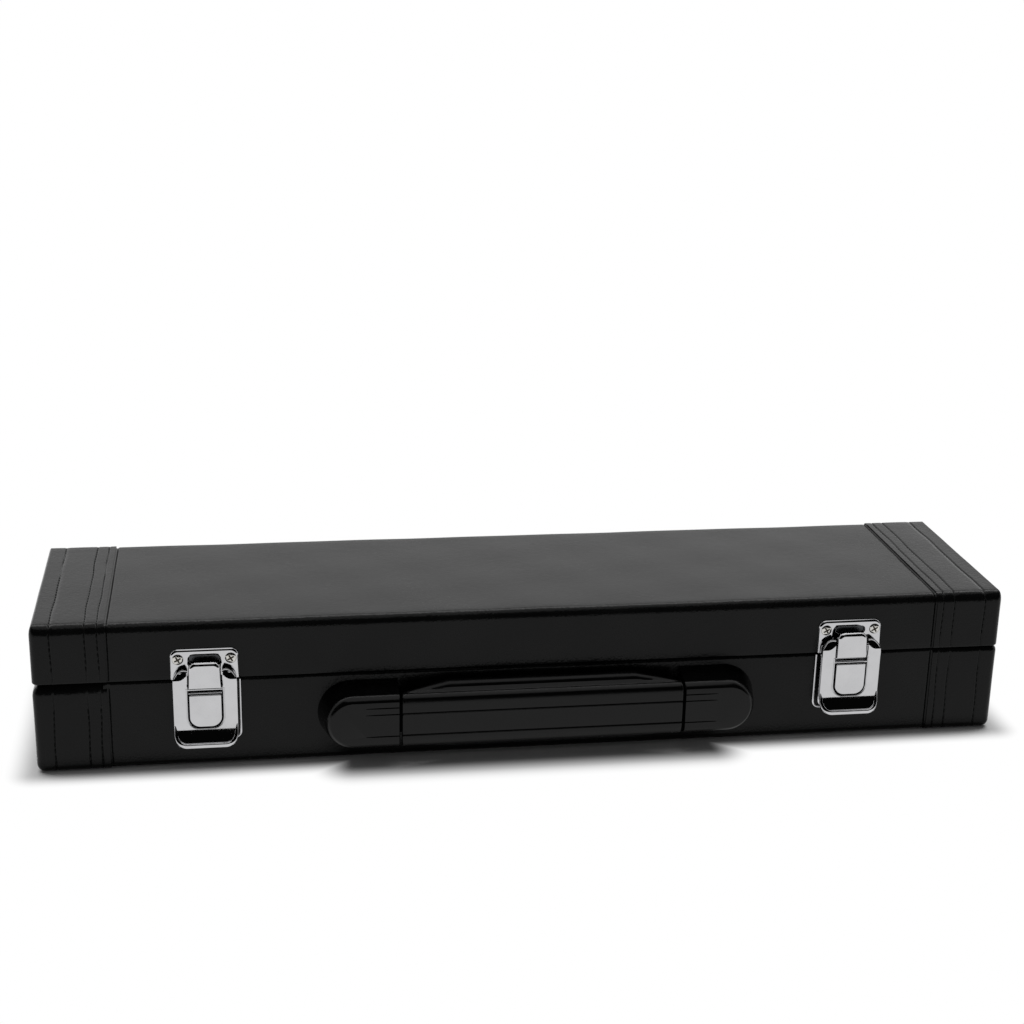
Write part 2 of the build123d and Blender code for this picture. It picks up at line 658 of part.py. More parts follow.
save(screws(plate_screw_spots(), front_plane, PLATE_THICKNESS, STRIKE_SCREW_HEAD_RADIUS,
            STRIKE_SCREW_HEAD_HEIGHT, STRIKE_SCREW_SHANK_RADIUS, STRIKE_SCREW_LENGTH), "latch_plate_screws")

with BuildPart() as lever_pins:
    for side in (-1, 1):
        for hand in (-1, 1):
            outer = side * LATCH_X + (LEVER_PIN_REACH if hand > 0 else -EAR_INNER)
            with BuildSketch(side_plane(outer, SPLIT_HEIGHT)):
                with Locations((LEVER_PIVOT_U, LEVER_PIVOT_V)):
                    Circle(LEVER_PIN_RADIUS)
            extrude(amount=LEVER_PIN_REACH - EAR_INNER)
save(lever_pins.part, "lever_pins")


# ---------------------------------------------------------------- latches: lever
def lever_form(x):
    """Front silhouette of the lever as a deep block, used to round its corners."""
    height = LEVER_LIP_END + LEVER_PIVOT_V + LEVER_ROLL_RADIUS
    middle = SPLIT_HEIGHT + LEVER_PIVOT_V + LEVER_ROLL_RADIUS - height / 2
    with BuildPart() as block:
        with BuildSketch(front_plane(x, middle)) as outline:
            Rectangle(LEVER_WIDTH, height)
            fillet(outline.vertices().sort_by(Axis.Y)[:2], LEVER_LOW_CORNER)
            fillet(outline.vertices().sort_by(Axis.Y)[-2:], LEVER_TOP_CORNER)
        extrude(amount=LEVER_FACE + 2 * LEVER_LIP_REACH)
    return block.part


def lever_face_section(x):
    """Side section of the lever's face sheet, straight and then flared into the finger lip."""
    back = LEVER_FACE - LEVER_SHEET
    lip_face = (LEVER_FACE + LEVER_LIP_REACH, -LEVER_LIP_END + LEVER_SHEET / 2)
    lip_back = (LEVER_FACE + LEVER_LIP_REACH - LEVER_SHEET, -LEVER_LIP_END)
    bend_face = (LEVER_FACE + LEVER_LIP_REACH / 4, -(LEVER_LIP_START + LEVER_LIP_END) / 2)
    bend_back = (bend_face[0] - LEVER_SHEET, bend_face[1] - LEVER_SHEET / 2)
    with BuildSketch(side_plane(x + LEVER_WIDTH / 2, SPLIT_HEIGHT)) as section:
        with BuildLine():
            Line((back, LEVER_PIVOT_V), (LEVER_FACE, LEVER_PIVOT_V))
            Line((LEVER_FACE, LEVER_PIVOT_V), (LEVER_FACE, -LEVER_LIP_START))
            ThreePointArc((LEVER_FACE, -LEVER_LIP_START), bend_face, lip_face)
            Line(lip_face, (lip_face[0], -LEVER_LIP_END))
            Line((lip_face[0], -LEVER_LIP_END), lip_back)
            ThreePointArc(lip_back, bend_back, (back, -LEVER_LIP_START))
            Line((back, -LEVER_LIP_START), (back, LEVER_PIVOT_V))
        make_face()
    return section.sketch


def lever(x):
    """Pressed lever: face with hasp window, raised pad, side walls, rolled shoulders and finger lip."""
    form = lever_form(x)
    face_section = lever_face_section(x)
    roll_width = LEVER_WIDTH / 2 - ROLL_INNER
    wall_foot = (LEVER_BACK, -LEVER_LIP_START + LEVER_SHEET)
    with BuildPart() as body:
        add(extrude(face_section, amount=LEVER_WIDTH, dir=(-1, 0, 0)))
        for outer in (LEVER_WIDTH / 2, -LEVER_WIDTH / 2 + LEVER_SHEET):
            with BuildSketch(side_plane(x + outer, SPLIT_HEIGHT)):
                Polygon((LEVER_BACK, LEVER_PIVOT_V), wall_foot, (LEVER_FACE, -LEVER_LIP_START),
                        (LEVER_FACE, LEVER_PIVOT_V), align=None)
            extrude(amount=LEVER_SHEET)
        for outer in (LEVER_WIDTH / 2, -ROLL_INNER):
            with BuildSketch(side_plane(x + outer, SPLIT_HEIGHT)):
                with Locations((LEVER_PIVOT_U, LEVER_PIVOT_V)):
                    Circle(LEVER_ROLL_RADIUS)
            extrude(amount=roll_width)
        add(form, mode=Mode.INTERSECT)
        window_height = WINDOW_BOTTOM + LEVER_PIVOT_V + LEVER_ROLL_RADIUS
        with BuildSketch(front_plane(x, SPLIT_HEIGHT - WINDOW_BOTTOM + window_height / 2)):
            Rectangle(2 * WINDOW_HALF, window_height)
        extrude(amount=HASP_FACE, mode=Mode.SUBTRACT)
        shoulder_height = LEVER_PIVOT_V + LEVER_ROLL_RADIUS - WINDOW_SHOULDER
        with BuildSketch(front_plane(x, SPLIT_HEIGHT + WINDOW_SHOULDER + shoulder_height / 2)):
            Rectangle(2 * ROLL_INNER, shoulder_height)
        extrude(amount=HASP_FACE, mode=Mode.SUBTRACT)
        for outer in (HASP_BOSS_REACH, -WINDOW_HALF):
            with BuildSketch(side_plane(x + outer, SPLIT_HEIGHT)):
                with Locations(((HASP_BOSS_BACK + LEVER_FACE) / 2, HASP_PIVOT_V)):
                    Rectangle(LEVER_FACE - HASP_BOSS_BACK, 2 * HASP_BOSS_HALF)
            extrude(amount=HASP_BOSS_REACH - WINDOW_HALF)
        pad_height = PAD_BOTTOM - WINDOW_BOTTOM
        pad_z = SPLIT_HEIGHT - (PAD_BOTTOM + WINDOW_BOTTOM) / 2
        with BuildSketch(front_plane(x, pad_z - PAD_GROOVE_WIDTH / 2, LEVER_FACE - PAD_GROOVE_DEPTH)) as moat:
            Rectangle(2 * (PAD_HALF + PAD_GROOVE_WIDTH), pad_height + PAD_GROOVE_WIDTH)
            fillet(moat.vertices().sort_by(Axis.Y)[:2], PAD_CORNER + PAD_GROOVE_WIDTH)
        extrude(amount=PAD_GROOVE_DEPTH, mode=Mode.SUBTRACT)
        with BuildSketch(front_plane(x, pad_z, LEVER_FACE - PAD_GROOVE_DEPTH)) as pad:
            Rectangle(2 * PAD_HALF, pad_height)
            fillet(pad.vertices().sort_by(Axis.Y)[:2], PAD_CORNER)
        extrude(amount=PAD_GROOVE_DEPTH + PAD_RAISE)
        with BuildSketch(side_plane(x, SPLIT_HEIGHT)):
            with Locations((LEVER_PIVOT_U, LEVER_PIVOT_V)):
                Circle(LEVER_PIN_RADIUS + HOLE_CLEARANCE)
        extrude(amount=LEVER_PIN_REACH + HOLE_CLEARANCE, both=True, mode=Mode.SUBTRACT)
        with BuildSketch(side_plane(x, SPLIT_HEIGHT)):
            with Locations((HASP_PIVOT_U, HASP_PIVOT_V)):
                Circle(HASP_PIN_RADIUS)
        extrude(amount=HASP_PIN_REACH, both=True, mode=Mode.SUBTRACT)
    return body.part


# ---------------------------------------------------------------- latches: hasp and its pin
def hasp(x):
    """Plate rolled around its pin at the foot and curled inwards to a hook at the top."""
    back = HASP_FACE - HASP_SHEET
    lip_tip = PLATE_THICKNESS + HASP_LIP_CLEARANCE
    shoulder = HASP_TOP - HASP_CURL
    bend = math.sqrt(0.5)
    arc_centre = HASP_FACE - HASP_CURL
    inner_curl = HASP_CURL - HASP_SHEET
    outer_mid = (arc_centre + HASP_CURL * bend, shoulder + HASP_CURL * bend)
    inner_mid = (arc_centre + inner_curl * bend, shoulder + inner_curl * bend)
    with BuildPart() as plate:
        with BuildSketch(side_plane(x + HASP_WIDTH / 2, SPLIT_HEIGHT)):
            with BuildLine():
                Line((back, HASP_PIVOT_V), (HASP_FACE, HASP_PIVOT_V))
                Line((HASP_FACE, HASP_PIVOT_V), (HASP_FACE, shoulder))
                ThreePointArc((HASP_FACE, shoulder), outer_mid, (arc_centre, HASP_TOP))
                Line((arc_centre, HASP_TOP), (lip_tip, HASP_TOP))
                Line((lip_tip, HASP_TOP), (lip_tip, HASP_TOP - HASP_SHEET))
                Line((lip_tip, HASP_TOP - HASP_SHEET), (arc_centre, HASP_TOP - HASP_SHEET))
                ThreePointArc((arc_centre, HASP_TOP - HASP_SHEET), inner_mid, (back, shoulder))
                Line((back, shoulder), (back, HASP_PIVOT_V))
            make_face()
            with Locations((HASP_PIVOT_U, HASP_PIVOT_V)):
                Circle(HASP_ROLL_RADIUS)
        extrude(amount=HASP_WIDTH)
        with BuildSketch(side_plane(x, SPLIT_HEIGHT)):
            with Locations((HASP_PIVOT_U, HASP_PIVOT_V)):
                Circle(HASP_PIN_RADIUS + HOLE_CLEARANCE)
        extrude(amount=HASP_WIDTH / 2, both=True, mode=Mode.SUBTRACT)
        height = HASP_TOP - HASP_PIVOT_V + HASP_ROLL_RADIUS
        with BuildSketch(front_plane(x, SPLIT_HEIGHT + HASP_TOP - height / 2)) as outline:
            Rectangle(HASP_WIDTH, height)
            fillet(outline.vertices().sort_by(Axis.Y)[-2:], HASP_CORNER)
        extrude(amount=HASP_FACE, mode=Mode.INTERSECT)
    return plate.part


def hasp_pin(x):
    """Pin pressed into the lever bosses; the hasp turns on it."""
    with BuildPart() as pin:
        with BuildSketch(side_plane(x, SPLIT_HEIGHT)):
            with Locations((HASP_PIVOT_U, HASP_PIVOT_V)):
                Circle(HASP_PIN_RADIUS)
        extrude(amount=HASP_PIN_REACH, both=True)
    return pin.part


for side, name in ((-1, "left"), (1, "right")):
    save(lever(side * LATCH_X), f"lever_{name}")
    save(hasp(side * LATCH_X), f"hasp_{name}")
    save(hasp_pin(side * LATCH_X), f"hasp_pin_{name}")


# ---------------------------------------------------------------- handle: moulded seats
def seat(side):
    """Drafted block with a half-round outer end; hollow behind the mouth for the strap end."""
    outer_x = HANDLE_HALF_LENGTH + SEAT_DRAFT
    length = outer_x - SEAT_MOUTH
    cavity_length = CAVITY_END - SEAT_MOUTH - MOUTH_LIP
    with BuildPart() as block:
        with BuildSketch(handle_face(0)):
            SlotOverall(2 * outer_x, 2 * (HANDLE_HALF_HEIGHT + SEAT_DRAFT))
        extrude(amount=HANDLE_PROUD, taper=SEAT_TAPER)
        with BuildSketch(handle_face(side * (SEAT_MOUTH + length / 2))):
            Rectangle(length, 4 * HANDLE_HALF_HEIGHT)
        extrude(amount=HANDLE_PROUD, mode=Mode.INTERSECT)
        fillet(block.faces().sort_by(Axis.Y)[0].edges(), SEAT_EDGE)
        with BuildSketch(handle_face(side * (SEAT_MOUTH + MOUTH_LIP / 2), 0.0, CAVITY_BACK)):
            Rectangle(MOUTH_LIP, 2 * MOUTH_HALF)
        extrude(amount=CAVITY_FRONT - CAVITY_BACK, mode=Mode.SUBTRACT)
        with BuildSketch(handle_face(side * (CAVITY_END - cavity_length / 2), 0.0, CAVITY_BACK)):
            Rectangle(cavity_length, 2 * CAVITY_HALF)
        extrude(amount=CAVITY_FRONT - CAVITY_BACK, mode=Mode.SUBTRACT)
        add(seat_holes, mode=Mode.SUBTRACT)
    return block.part


for side, name in ((-1, "left"), (1, "right")):
    save(seat(side), f"handle_seat_{name}")

with BuildPart() as handle_screws:
    for x, z in seat_screw_spots():
        with BuildSketch(front_plane(x, z, -WALL_INNER_DEPTH + SEAT_SCREW_RECESS)):
            Circle(SEAT_SCREW_RADIUS)
        extrude(amount=WALL_INNER_DEPTH - SEAT_SCREW_RECESS + SEAT_SCREW_REACH)
        with BuildSketch(front_plane(x, z, -WALL_INNER_DEPTH + SEAT_SCREW_RECESS - SEAT_SCREW_HEAD_HEIGHT)):
            Circle(SEAT_SCREW_HEAD_RADIUS)
        extrude(amount=SEAT_SCREW_HEAD_HEIGHT)
save(handle_screws.part, "handle_screws")


# ---------------------------------------------------------------- handle: strap
def strap_section(rear, front, rear_half, front_half):
    """Cross section of the grip between two depths, a little taller at the rear."""
    Polygon((rear, -rear_half), (front, -front_half), (front, front_half), (rear, rear_half), align=None)


def groove_cutter(x_low, x_high):
    """Two shallow stitch grooves along the front of the grip."""
    with BuildPart() as cutter:
        for offset in (GROOVE_UPPER, GROOVE_LOWER):
            spot = handle_face((x_low + x_high) / 2, offset, HANDLE_PROUD - GROOVE_DEPTH)
            with BuildSketch(spot):
                Rectangle(x_high - x_low, GROOVE_WIDTH)
            extrude(amount=GROOVE_DEPTH)
    return cutter.part


def strip_block(x_low, x_high, half, clearance):
    """Flat spring steel strip between two x positions, grown by a clearance."""
    with BuildPart() as strip:
        spot = handle_face((x_low + x_high) / 2, 0.0, STRIP_U - STRIP_THICKNESS / 2 - clearance)
        with BuildSketch(spot):
            Rectangle(x_high - x_low, 2 * (half + clearance))
        extrude(amount=STRIP_THICKNESS + 2 * clearance)
    return strip.part


REAR_HALF = HANDLE_HALF_HEIGHT + GRIP_REAR_GROW
grip_slot = strip_block(-GRIP_HALF, GRIP_HALF, STRIP_HALF, STRIP_SLOT_CLEARANCE)
grip_grooves = groove_cutter(-GRIP_HALF, GRIP_HALF)

with BuildPart() as grip_cover:
    with BuildSketch(handle_section(GRIP_HALF)):
        strap_section(GRIP_CREASE + CREASE_GAP, HANDLE_PROUD, REAR_HALF, HANDLE_HALF_HEIGHT)
    extrude(amount=2 * GRIP_HALF)
    front_edges = grip_cover.faces().sort_by(Axis.Y)[0].edges().filter_by(Axis.X)
    fillet(front_edges, GRIP_EDGE)
    add(grip_slot, mode=Mode.SUBTRACT)
    add(grip_grooves, mode=Mode.SUBTRACT)
save(grip_cover.part, "grip_cover")

NOTCH_SLOPE = math.tan(math.radians(NOTCH_HALF_ANGLE))
top_plane = Plane(origin=(HANDLE_X, FRONT_Y, HANDLE_Z), x_dir=(1, 0, 0), z_dir=(0, 0, 1))
pad_rear_half = GRIP_HALF - (GRIP_CREASE - GRIP_REAR) * NOTCH_SLOPE

# The pad's ends slant, so that a notch lets the strap fold around the crease behind its cover.
with BuildPart() as grip_pad:
    with BuildSketch(handle_section(GRIP_HALF)):
        strap_section(GRIP_REAR, GRIP_CREASE, REAR_HALF, REAR_HALF)
    extrude(amount=2 * GRIP_HALF)
    with BuildSketch(top_plane):
        Polygon((-GRIP_HALF, -GRIP_CREASE), (-pad_rear_half, -GRIP_REAR),
                (pad_rear_half, -GRIP_REAR), (GRIP_HALF, -GRIP_CREASE), align=None)
    extrude(amount=REAR_HALF, both=True, mode=Mode.INTERSECT)
    rear_edges = grip_pad.faces().sort_by(Axis.Y)[-1].edges().filter_by(Axis.X)
    fillet(rear_edges, PAD_EDGE)
save(grip_pad.part, "grip_pad")

save(strip_block(-GRIP_HALF, GRIP_HALF, STRIP_HALF, 0.0), "grip_core")


def strap_cover(side):
    """Wedge of the grip beyond the bend, thinning towards the seat."""
    start = BEND_X + BEND_GAP
    rear_start = start + (GRIP_CREASE - WEDGE_REAR) * NOTCH_SLOPE
    slot = strip_block(min(side * start, side * STRAP_END), max(side * start, side * STRAP_END),
                       STRIP_HALF, STRIP_SLOT_CLEARANCE)
    grooves = groove_cutter(min(side * start, side * STRAP_END), max(side * start, side * STRAP_END))
    with BuildPart() as wedge:
        with BuildSketch(handle_section(side * STRAP_END + (STRAP_END - start) * (1 - side) / 2)):
            strap_section(WEDGE_REAR, HANDLE_PROUD, REAR_HALF, HANDLE_HALF_HEIGHT)
        extrude(amount=STRAP_END - start)
        front_edges = wedge.faces().sort_by(Axis.Y)[0].edges().filter_by(Axis.X)
        fillet(front_edges, GRIP_EDGE)
        with BuildSketch(top_plane):
            Polygon((side * start, -GRIP_CREASE), (side * rear_start, -WEDGE_REAR),
                    (side * STRAP_END, -STRAP_REAR_AT_END), (side * STRAP_END, -HANDLE_PROUD),
                    (side * start, -HANDLE_PROUD), align=None)
        extrude(amount=REAR_HALF, both=True, mode=Mode.INTERSECT)
        add(slot, mode=Mode.SUBTRACT)
        add(grooves, mode=Mode.SUBTRACT)
    return wedge.part


def strap_strip(side):
    """Strip end that runs into the seat, with a wider head that stops at the mouth."""
    start = BEND_X + BEND_GAP
    body = strip_block(min(side * start, side * STRIP_TIP), max(side * start, side * STRIP_TIP), STRIP_HALF, 0.0)
    head = strip_block(min(side * STRIP_HEAD_START, side * STRIP_TIP),
                       max(side * STRIP_HEAD_START, side * STRIP_TIP), STRIP_HEAD_HALF, 0.0)
    with BuildPart() as strip:
        add(body)
        add(head)
    return strip.part


for side, name in ((-1, "left"), (1, "right")):
    save(strap_cover(side), f"strap_cover_{name}")
    save(strap_strip(side), f"strap_strip_{name}")
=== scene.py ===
"""Looks of a black leatherette flute case with chrome draw latches and a strap handle.

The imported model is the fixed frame. Shapes are worked out in millimetres and written to the meshes in metres.
"""
import json
import logging
import math
from dataclasses import dataclass
from enum import Enum

import bmesh
import bpy
import numpy as np
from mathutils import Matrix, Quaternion, Vector


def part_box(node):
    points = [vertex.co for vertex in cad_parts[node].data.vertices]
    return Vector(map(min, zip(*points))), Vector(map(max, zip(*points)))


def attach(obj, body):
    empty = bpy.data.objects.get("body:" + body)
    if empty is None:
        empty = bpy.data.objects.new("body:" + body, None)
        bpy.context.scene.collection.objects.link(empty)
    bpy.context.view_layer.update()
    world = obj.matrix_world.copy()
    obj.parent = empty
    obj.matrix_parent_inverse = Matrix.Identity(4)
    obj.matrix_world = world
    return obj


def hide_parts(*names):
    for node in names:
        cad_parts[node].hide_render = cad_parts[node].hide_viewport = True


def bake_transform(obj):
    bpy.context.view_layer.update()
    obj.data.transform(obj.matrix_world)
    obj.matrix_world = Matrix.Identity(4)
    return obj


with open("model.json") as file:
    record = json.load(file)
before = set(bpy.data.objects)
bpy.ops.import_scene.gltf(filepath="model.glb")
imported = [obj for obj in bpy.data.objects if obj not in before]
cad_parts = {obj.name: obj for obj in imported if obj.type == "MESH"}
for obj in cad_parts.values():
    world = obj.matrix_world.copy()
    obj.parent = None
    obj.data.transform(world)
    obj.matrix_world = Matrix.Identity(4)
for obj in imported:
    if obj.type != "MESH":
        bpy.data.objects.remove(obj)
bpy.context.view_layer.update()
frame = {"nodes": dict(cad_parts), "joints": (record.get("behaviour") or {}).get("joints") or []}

Array = np.ndarray
MM = 0.001
SIDES = {"left": -1, "right": 1}
CROWN_EDGE = 8.0  # width in millimetres over which a cushion's top swells
SHARP_EDGE = 50.0  # degrees past which an edge of pressed sheet stays crisp
log = logging.getLogger("flute_case")


# ------------------------------------------------------------------ surfaces
@dataclass
class Patch:
    """One surface: points in millimetres, and faces as tuples of point numbers."""

    points: Array
    faces: list[tuple[int, ...]]


def grid(points: Array, wrap: bool = False, keep: Array | None = None) -> Patch:
    """Quads between neighbouring rows and columns of points.

    Args:
        points: Grid of points, shaped (rows, columns, 3).
        wrap: Whether the last column joins the first.
        keep: Which quads stay, shaped (rows - 1, columns - 1 or columns when wrapped).

    Returns:
        The patch of quads.
    """
    rows, columns = points.shape[:2]
    index = np.arange(rows * columns).reshape(rows, columns)
    if wrap:
        index = np.concatenate([index, index[:, :1]], axis=1)
    quads = np.stack([index[:-1, :-1], index[:-1, 1:], index[1:, 1:], index[1:, :-1]], axis=-1)
    quads = quads[keep] if keep is not None else quads.reshape(-1, 4)
    return Patch(points.reshape(-1, 3), [tuple(q) for q in quads.tolist()])


def tube(rings: Array, first: bool = True, last: bool = True) -> Patch:
    """Closed rings joined one to the next, with a flat cap on the first and the last where asked.

    Args:
        rings: Points shaped (rings, points on a ring, 3).
        first: Whether the first ring is capped.
        last: Whether the last ring is capped.

    Returns:
        The patch.
    """
    patch = grid(rings, wrap=True)
    count, around = rings.shape[:2]
    if first:
        patch.faces.append(tuple(range(around))[::-1])
    if last:
        patch.faces.append(tuple(range((count - 1) * around, count * around)))
    return patch


def joined(*patches: Patch) -> Patch:
    """Several patches as one, with their faces renumbered."""
    points, faces, start = [], [], 0
    for patch in patches:
        points.append(patch.points)
        faces += [tuple(i + start for i in face) for face in patch.faces]
        start += len(patch.points)
    return Patch(np.concatenate(points), faces)


def rounded_polygon(corners: Array, radii: Array, steps: int = 7) -> tuple[Array, Array]:
    """Outline of a polygon, drawn anticlockwise, whose corners are arcs.

    Each arc touches both edges of its corner: its centre lies one radius from each of them, and its points run
    from the end of the incoming edge to the start of the outgoing one.

    Args:
        corners: Corner points, shaped (corners, 2).
        radii: Radius of each corner.
        steps: Points on each arc.

    Returns:
        Points and outward directions, both shaped (corners * steps, 2).
    """
    corners = np.asarray(corners, float)
    radii = np.asarray(radii, float)
    edge = np.roll(corners, -1, 0) - corners
    outgoing = edge / np.linalg.norm(edge, axis=1, keepdims=True)
    incoming = np.roll(outgoing, 1, 0)
    cross = incoming[:, 0] * outgoing[:, 1] - incoming[:, 1] * outgoing[:, 0]
    turn = np.arctan2(cross, (incoming * outgoing).sum(1))
    inward = np.stack([-incoming[:, 1], incoming[:, 0]], 1)
    reach = radii * np.tan(np.abs(turn) / 2)
    sign = np.sign(turn)
    centre = corners - incoming * reach[:, None] + inward * (sign * radii)[:, None]
    angle = turn[:, None] * np.linspace(0, 1, steps)[None, :]
    start = -inward
    turned = np.stack([
        start[:, :1] * np.cos(angle) - start[:, 1:] * np.sin(angle),
        start[:, :1] * np.sin(angle) + start[:, 1:] * np.cos(angle),
    ], -1)
    points = centre[:, None, :] + turned * (sign * radii)[:, None, None]
    return points.reshape(-1, 2), turned.reshape(-1, 2)


def box_corners(left: float, low: float, right: float, high: float) -> Array:
    """Corners of an upright rectangle, anticlockwise from the lower left."""
    return np.array([(left, low), (right, low), (right, high), (left, high)], float)


def quarter(turns: int) -> Array:
    """Angles from 0 to a quarter turn."""
    return np.linspace(0, math.pi / 2, turns)


def lifted(outline: Array, height: float | Array) -> Array:
    """A flat outline at a height, or at a height for each of its points."""
    return np.column_stack([outline, np.broadcast_to(height, len(outline))])


def path_length(a: Array, b: Array) -> Array:
    """Distance walked along a line to each of its points: the sum of the straight steps."""
    return np.concatenate([[0], np.cumsum(np.hypot(np.diff(a), np.diff(b)))])


def well(away: Array) -> Array:
    """Cosine well: 1 in the middle, falling smoothly to 0 at a distance of 1 and beyond."""
    return 0.5 + 0.5 * np.cos(math.pi * np.minimum(away, 1))


def edge_curve(turns: int, power: float = 2.0) -> tuple[Array, Array]:
    """Rounding between a side and a face as a superellipse, |x| ** power + |y| ** power = 1.

    A power of 2 is a quarter of an ellipse; a lower power is a softer chamfer.

    Args:
        turns: Points on the curve.
        power: The power.

    Returns:
        Share of the way inwards from the side, and share of the way up to the face.
    """
    angle = quarter(turns)
    return 1 - np.cos(angle).clip(0) ** (2 / power), np.sin(angle) ** (2 / power)


def slab(corners: Array, radii: Array, low: float, high: float, edge: tuple[float, float] = (0.3, 0.3),
         drop: float = 0.3, steps: int = 7, turns: int = 6) -> Patch:
    """Flat plate with a rounded outline and a quarter-ellipse rounding around its upper edge.

    On the rounding the outline shrinks by edge * (1 - cos a) while the height rises to high - drop * (1 - sin a).

    Args:
        corners: Outline corners, anticlockwise.
        radii: Outline corner radii.
        low: Height of the flat back.
        high: Height of the face.
        edge: How far the rounding reaches inwards along each outline direction.
        drop: How far the rounding reaches down.
        steps: Points on each outline corner.
        turns: Rows on the rounding.

    Returns:
        A closed patch in local coordinates.
    """
    outline, outward = rounded_polygon(corners, radii, steps)
    angle = quarter(turns)
    shrink = (1 - np.cos(angle))[:, None, None] * outward * np.array(edge)
    height = high - drop * (1 - np.sin(angle))
    top = np.concatenate([outline - shrink, np.broadcast_to(height[:, None, None], shrink.shape[:2] + (1,))], 2)
    return tube(np.concatenate([lifted(outline, low)[None], top]))


def bead(path: Array, away: Array, size: Array, lift: Array, around: int = 16, power: float = 2.0) -> Patch:
    """Bead along a path: a closed superellipse at each point, in the plane of the outward direction and the height.

    Args:
        path: Middle of the bead, shaped (points, 2).
        away: Outward direction at each point, shaped (points, 2).
        size: Radius at each point.
        lift: Height of the middle at each point.
        around: Points on each section.
        power: 2 for a circle, more for a squarer section.

    Returns:
        A closed patch in local coordinates.
    """
    turn = np.linspace(0, 2 * math.pi, around, endpoint=False)
    across = np.sign(np.cos(turn)) * np.abs(np.cos(turn)) ** (2 / power)
    upwards = np.sign(np.sin(turn)) * np.abs(np.sin(turn)) ** (2 / power)
    flat = path[:, None, :] + away[:, None, :] * (size[:, None] * across)[..., None]
    height = lift[:, None] + size[:, None] * upwards
    return tube(np.concatenate([flat, height[..., None]], -1))


def soft_block(low: Array, high: Array, edge: float, crown: float, steps: int = 5, turns: int = 5) -> Patch:
    """Foam block with rounded upright corners and edges, whose top swells in the middle.

    The rings shrink along a quarter circle at the bottom and the top. Past the edge the top rises as
    crown * (1 - k ** 2), where k is the share of the way from the middle to the edge.

    Args:
        low: Lowest corner.
        high: Highest corner.
        edge: Radius of the rounding.
        crown: Height of the swelling.
        steps: Points on each corner.
        turns: Rows on each rounding.

    Returns:
        A closed patch.
    """
    low, high = np.asarray(low, float), np.asarray(high, float)
    outline, outward = rounded_polygon(box_corners(low[0], low[1], high[0], high[1]), np.full(4, edge * 1.2), steps)
    angle = quarter(turns)
    rows = [lifted(outline - outward * edge * (1 - math.sin(a)), low[2] + edge * (1 - math.cos(a))) for a in angle]
    top = high[2] - crown
    rows += [lifted(outline - outward * edge * (1 - math.cos(a)), top - edge * (1 - math.sin(a))) for a in angle]
    shoulder = outline - outward * edge
    middle = (low + high)[:2] / 2
    ends = np.clip(shoulder, middle - (high - low)[:2] / 2 + CROWN_EDGE, middle + (high - low)[:2] / 2 - CROWN_EDGE)
    core = np.where((high - low)[:2] > 2 * CROWN_EDGE, ends, middle)
    for share in (0.9, 0.75, 0.55, 0.35, 0.18):
        rows.append(lifted(core + (shoulder - core) * share, top + crown * (1 - share ** 2)))
    return tube(np.stack(rows))


@dataclass(frozen=True)
class Axes:
    """A place to build in: an origin and three directions."""

    origin: tuple[float, float, float]
    a: tuple[float, float, float]
    b: tuple[float, float, float]
    c: tuple[float, float, float]

    def put(self, patch: Patch) -> Patch:
        """The patch moved from local coordinates to this place."""
        basis = np.array([self.a, self.b, self.c], float)
        return Patch(patch.points @ basis + np.array(self.origin, float), patch.faces)


def facing_front(x: float, y: float, z: float) -> Axes:
    """Local right, up and outwards on the front of the case."""
    return Axes((x, y, z), (1, 0, 0), (0, 0, 1), (0, -1, 0))


def seen_from_side(x: float, y: float, z: float) -> Axes:
    """Local outwards, up and sideways on the front of the case."""
    return Axes((x, y, z), (0, -1, 0), (0, 0, 1), (1, 0, 0))


class Closing(Enum):
    """How a piece's faces are turned outwards."""

    SOLID = "every island is closed"
    SHEET = "an open sheet that faces away from a point"


def make_piece(name: str, patch: Patch, finish: bpy.types.Material, closing: Closing = Closing.SOLID,
               away_from: tuple[float, float, float] = (0, 0, 0), merge: float = 0.0) -> bpy.types.Object:
    """A mesh object from a patch, in metres, smooth, with its faces pointing outwards.

    Args:
        name: Name of the piece.
        patch: Its surface in millimetres.
        finish: Its material.
        closing: Whether it is closed or an open sheet.
        away_from: For a sheet, the point that its faces point away from, in millimetres.
        merge: Points nearer than this, in millimetres, become one.

    Returns:
        The object, at the origin.
    """
    mesh = bpy.data.meshes.new(name)
    mesh.from_pydata((patch.points * MM).tolist(), [], patch.faces)
    work = bmesh.new()
    work.from_mesh(mesh)
    if merge:
        bmesh.ops.remove_doubles(work, verts=work.verts, dist=merge * MM)
    bmesh.ops.recalc_face_normals(work, faces=work.faces)
    if closing is Closing.SHEET:
        centre = Vector(away_from) * MM
        outwards = sum(f.normal.dot(f.calc_center_median() - centre) * f.calc_area() for f in work.faces)
        if outwards < 0:
            bmesh.ops.reverse_faces(work, faces=work.faces)
    work.to_mesh(mesh)
    work.free()
    mesh.materials.append(finish)
    piece = bpy.data.objects.new(name, mesh)
    bpy.context.scene.collection.objects.link(piece)
    smooth(piece)
    return piece


def smooth(piece: bpy.types.Object, angle: float = 40.0) -> None:
    """Smooth shading with creases where faces meet at more than an angle in degrees."""
    piece.data.shade_smooth()
    piece.data.set_sharp_from_angle(angle=math.radians(angle))


